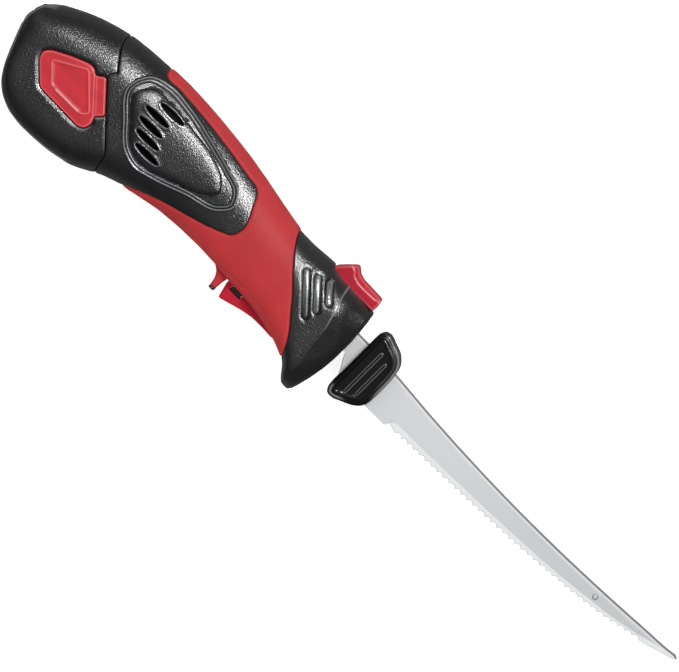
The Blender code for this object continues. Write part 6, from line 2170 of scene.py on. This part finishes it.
@dataclass
class CuttingHead:
    """The blades with their grips, and the drive behind them."""

    shop: Workshop
    inner: float = 0.15         # of a blade, over the middle plane
    thickness: float = 1.0
    tooth_pitch: float = 4.44
    tooth_depth: float = 1.7
    edge: float = 0.12
    rivet: Point = (189.7, -2.4)
    rivet_hole: float = 1.1
    slide: float = 8.7          # half length of the slot that the rivet slides in
    keyhole: float = 1.9
    grip_low: float = 1.45
    grip_side: float = 8.0
    grip_rise: tuple[float, float] = (0.9, 1.25)
    ribs: tuple[tuple[float, float, float], ...] = ((15.7, 9.3, -18.6), (21.1, 6.4, -15.0))

    def __post_init__(self) -> None:
        """Draw the outlines."""
        self.serrated = Outline(self._edge_points(), closed=False, rounded=False, spacing=1.0)
        spine = Outline(BLADE_SPINE, closed=False, spacing=2.0)
        around = np.concatenate((spine.line, self.serrated.line[::-1]))
        self.blade_line = Outline([tuple(p) for p in around], rounded=False, spacing=4.0)
        self.spine = spine
        self.grip_line = Outline(GRIP_LINE)
        self.rib_lines = [capsule((x, low), (x, high), 1.9) for x, high, low in self.ribs]

    def _edge_points(self) -> list[Point]:
        """The cutting edge with its teeth.

        Returns:
            Its points, from the tang to the tip.
        """
        xs, ys = np.array(BLADE_EDGE).T
        points = [(x, y) for x, y in BLADE_EDGE if x < FIRST_TOOTH - 0.5]
        teeth = round((LAST_TOOTH - FIRST_TOOTH) / self.tooth_pitch)
        pitch = (LAST_TOOTH - FIRST_TOOTH) / teeth
        for tooth in range(teeth):
            for share in (0.0, 0.05, 0.15, 0.3, 0.5, 0.7, 0.85, 0.95):
                x = FIRST_TOOTH + (tooth + share) * pitch
                depth = self.tooth_depth * 4.0 * share * (1.0 - share)
                points.append((x, float(np.interp(x, xs, ys)) + depth))
        return points + [(x, y) for x, y in BLADE_EDGE if x > LAST_TOOTH - 0.5]

    def _ground(self, x: Array, y: Array) -> Array:
        """How far below the grind line a point lies."""
        return np.interp(x, *np.array(BLADE_GRIND).T) - y

    def _blade_face(self, x: Array, y: Array) -> Array:
        """Outer face of a blade: flat, then ground to the edge, then scalloped.

        Args:
            x: Places along the blade.
            y: Heights on it.

        Returns:
            The heights over the middle plane.
        """
        grind = np.interp(x, *np.array(BLADE_GRIND).T)
        edge = np.interp(x, *np.array(BLADE_EDGE).T)
        share = np.clip((y - edge) / np.maximum(grind - edge, 0.05), 0.0, 1.0)
        full = self.thickness - self.edge
        height = self.edge + full * (0.3 + 0.7 * share)
        height = np.where(y >= grind - 1e-6, self.thickness, height)
        into = np.abs(self.serrated.distance(x, y))
        toothed = (x > FIRST_TOOTH - 6.0)
        height = np.where(toothed, np.minimum(height, self.edge + 0.42 * into), height)
        back = np.abs(self.spine.distance(x, y))
        return self.inner + height - 0.12 * (1 - unit_round(back, 0.35))

    def _bevel(self, x: Array, y: Array) -> Array:
        """Where a blade is ground."""
        back = ridge(np.abs(self.spine.distance(x, y)), 1.65, 0.8)
        return back + soft_step(self._ground(x, y), -0.05, 0.25) * (x > FIRST_TOOTH - 7.0)

    def _spine_shade(self, x: Array, y: Array) -> Array:
        """Where painted shade darkens a blade's back."""
        return 1 - soft_step(np.abs(self.spine.distance(x, y)), 0.95, 1.3)

    def _scallop_shade(self, x: Array, y: Array) -> Array:
        """Where a tone of its own is painted along the edge and its teeth, a darker reflection
        than the bevel's.
        """
        return (1 - soft_step(np.abs(self.serrated.distance(x, y)), 0.3, 0.8)) * (x > 8.0)

    def blades(self) -> None:
        """The two blades, flat sides together, with the rivet's hole and slot."""
        grind = Outline([p for p in BLADE_GRIND if p[0] > 40.0], closed=False, rounded=False,
                        spacing=2.0)
        slab = Slab(self.blade_line, top=self._blade_face,
                    bottom=level(self.inner), rim=(-0.35,),
                    contours=((grind, (0.0, 0.3)), (self.serrated, (-0.8,)),
                              (self.spine, (0.95, 1.3, 1.65, 2.0))), spacing=1.5)
        x, y = self.rivet
        for side in Side:
            made = slab.make(self.shop, "blade", side)
            if side is Side.RIGHT:
                self.shop.boolean(made, "DIFFERENCE",
                                  self.shop.rod("hole", (x, y, 0.0), self.rivet_hole, 6.0))
            else:
                slot = capsule((x - self.slide, y), (x + self.slide, y), 2 * self.rivet_hole)
                self.shop.boolean(made, "DIFFERENCE",
                                  self.shop.plate("slot", slot.line, -3.0, 3.0),
                                  self.shop.rod("keyhole", (x - self.slide - 0.9, y, 0.0),
                                                self.keyhole, 6.0))
            # the ground mark is the bevel; the other two say where shade is painted on the back
            # and where a darker reflection is painted along the edge
            self.shop.mark(made, ground=self._bevel, rolled=self._spine_shade, cut=self._scallop_shade)
            self.shop.finish(made, "serrated_blade_" + side.word, BLADE, "blade_steel",
                             "cutter_" + side.word, ["blade_" + side.word], sharp=14.0)

    def _grip_top(self, x: Array, y: Array) -> Array:
        """Face of a blade's grip: a rolled side, a shoulder, a raised pad and two ribs.

        Args:
            x: Places along the knife.
            y: Heights on the flank.

        Returns:
            The heights over the middle plane.
        """
        into = -self.grip_line.distance(x, y)
        shoulder, pad = self.grip_rise
        height = self.grip_side - 1.0 * (1 - unit_round(into, 1.1))
        height += shoulder * unit_round(into - 1.3, 0.9)
        height += pad * unit_round(into - 2.6, 1.3)
        height -= 0.35 * soft_step(into, 4.4, 5.2)
        for rib in self.rib_lines:
            away = rib.distance(x, y)
            height += 0.55 * unit_round(-away, 0.65) - 0.25 * ridge(away, 0.4, 0.9)
        return height

    def _grip_shine(self, x: Array, y: Array) -> Array:
        """Where highlights are painted on a grip's rounded side towards the tip and the spine, on
        its heel and along its ribs.

        Args:
            x: Places along the knife.
            y: Heights on the flank.

        Returns:
            How much, from 0 to 1.
        """
        into = -self.grip_line.distance(x, y)
        # painted highlights: only on the side towards the tip and the spine, and a streak at the
        # heel
        fore = soft_step(x + 0.5 * y, 21.0, 27.0)
        heel = soft_step(-y - 0.25 * x, 17.0, 20.0) * (x < 21.0)
        lit = (0.75 * ridge(into, 0.9, 1.7) + 0.3 * ridge(into, 2.9, 0.8)) * fore
        lit += 0.8 * ridge(into, 1.7, 1.5) * heel
        for rib in self.rib_lines:
            lit += 0.5 * ridge(rib.distance(x, y), -0.25, 0.7)
        return lit

    def grips(self) -> None:
        """Black grip on the heel of each blade, on a plate that reaches to the steel."""
        slab = Slab(self.grip_line, top=self._grip_top,
                    bottom=level(self.grip_low),
                    rim=(-0.12, -0.35, -0.7, -1.1, -1.35, -1.7, -2.2, -2.6, -2.9, -3.4, -3.9,
                         -4.4, -5.2),
                    contours=tuple((rib, (0.7, 0.35, 0.0, -0.25, -0.6))
                                   for rib in self.rib_lines), spacing=1.1)
        for side in Side:
            made = slab.make(self.shop, "blade_grip", side)
            self.shop.mark(made, rim=self._grip_shine)
            self.shop.finish(made, "blade_grip_pad_" + side.word, BLADE_GRIP,
                             "black_blade_grip", "cutter_" + side.word,
                             ["blade_grip_" + side.word], sharp=50.0)

    def build(self) -> None:
        """Make every piece of the head."""
        self.blades()
        self.grips()
        self.shop.dress(STEEL, "tip_rivet", "motor_shaft", "gear_shaft", "crank_right",
                        "crank_left", "trigger_pin")
        self.shop.dress(BRASS, "worm", "worm_bush", "shaft_bush_right", "shaft_bush_left",
                        "contact_blade_right", "contact_blade_left")
        self.shop.dress(NYLON, "worm_wheel", "blade_carrier_right", "blade_carrier_left",
                        "terminal_block")
        self.shop.dress(CAST, "motor_can", "gear_frame")
        self.shop.dress(BOARD, "control_board")
        self.shop.dress(SPRING, "trigger_spring", "release_spring")


# Studio

@dataclass
class Studio:
    """Pale floor, soft lamps and the camera."""

    shop: Workshop
    target: Place = (-7.45, -0.57, 0.0)
    view_width: float = 366.66
    distance: float = 2600.0
    tilt: float = 6.0           # degrees that the camera leans towards the spine
    roll: float = 45.0          # degrees that the knife is turned in the picture
    sensor: float = 36.0
    floor_size: float = 14.0
    floor_glow: float = 0.62
    floor_mirrored: float = 0.22    # how pale it is as the object mirrors it
    sky: float = 0.46           # strength of the world on the object
    overhead: float = 0.32      # and as the object mirrors it overhead
    beside: float = 0.1         # and beside the object

    def floor(self) -> None:
        """Pale floor that shows white to the camera and keeps the shadow."""
        bpy.ops.mesh.primitive_plane_add(size=self.floor_size)
        plane = bpy.context.object
        plane.name = "floor"
        shader = Shader("pale_floor")
        camera = shader.node("ShaderNodeLightPath", {}, {}, "Is Camera Ray")
        glossy = shader.node("ShaderNodeLightPath", {}, {}, "Is Glossy Ray")
        glow = shader.mix(camera, (0.0, 0.0, 0.0, 1.0), (*(self.floor_glow,) * 3, 1.0))
        pale = shader.mix(glossy, (0.93, 0.93, 0.935, 1.0), (*(self.floor_mirrored,) * 3, 1.0))
        shader.done(Base_Color=pale, Roughness=0.9, Emission_Color=glow,
                    Emission_Strength=1.0)
        plane.data.materials.append(shader.material)

    def camera(self) -> None:
        """Camera at the photograph's angle."""
        data = bpy.data.cameras.new("camera")
        made = self.shop.object("camera", data)
        data.sensor_width = self.sensor
        data.lens = self.sensor * self.distance / self.view_width
        data.clip_end = 50.0
        turn = (Matrix.Rotation(math.radians(-self.tilt), 4, "X")
                @ Matrix.Rotation(math.radians(self.roll), 4, "Z"))
        aim = self.shop.places.matrix() @ Vector(self.target)
        back = turn @ Vector((0.0, 0.0, self.distance * MM))
        made.matrix_world = Matrix.Translation(aim + back) @ turn
        bpy.context.scene.camera = made

    def lamp(self, name: str, towards: Sequence[float], distance: float, size: Sequence[float],
             power: float, diffuse: bool = True, glossy: bool = True) -> None:
        """Area lamp aimed at the handle.

        Args:
            name: Its name.
            towards: Direction from the handle to the lamp.
            distance: How far off, in metres.
            size: Its width and height, in metres.
            power: Its power in watts.
            diffuse: Whether it lights the object, or only shines on it.
            glossy: Whether it shines on the object, or only lights it.
        """
        data = bpy.data.lights.new(name, "AREA")
        data.shape = "RECTANGLE"
        data.size, data.size_y = size
        data.energy = power
        made = self.shop.object(name, data)
        away = Vector(towards).normalized()
        made.location = away * distance
        made.rotation_mode = "QUATERNION"
        made.rotation_quaternion = away.to_track_quat("Z", "Y")
        made.visible_diffuse = diffuse
        made.visible_glossy = glossy

    def lights(self) -> None:
        """World and lamps."""
        sky = Sky("studio")
        glossy = sky.node("ShaderNodeLightPath", {}, {}, "Is Glossy Ray")
        up = sky.node("ShaderNodeSeparateXYZ", {}, {"Vector": sky.place}, "Z")
        mirrored = self.beside + (self.overhead - self.beside) * sky.ramp(up, 0.7, 0.95)
        sky.done(Color=(1.0, 1.0, 1.0, 1.0),
                 Strength=self.sky + glossy * (mirrored - self.sky))
        bpy.context.scene.world = sky.material
        self.lamp("key", (0.06, 0.56, 0.83), 1.5, (0.5, 0.4), 14.0)
        self.lamp("glint", (0.06, 0.57, 0.82), 1.49, (0.24, 0.2), 30.0, diffuse=False)
        self.lamp("rim", (-0.8, 0.35, 0.4), 1.7, (0.6, 0.35), 1.5)
        self.lamp("fill", (0.2, -0.8, 0.7), 1.8, (1.1, 0.8), 9.0, glossy=False)

    def build(self) -> None:
        """Set the stage."""
        self.floor()
        self.camera()
        self.lights()
        bpy.context.scene.view_settings.view_transform = "Standard"


def main() -> None:
    """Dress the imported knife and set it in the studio."""
    logging.basicConfig(level=logging.INFO, format="%(message)s")
    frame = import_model()
    shop = Workshop(frame)
    form = BodyForm()
    Battery(shop, form).build()
    Handle(shop, form).build()
    CuttingHead(shop).build()
    Studio(shop).build()


if __name__ == "__main__":
    main()
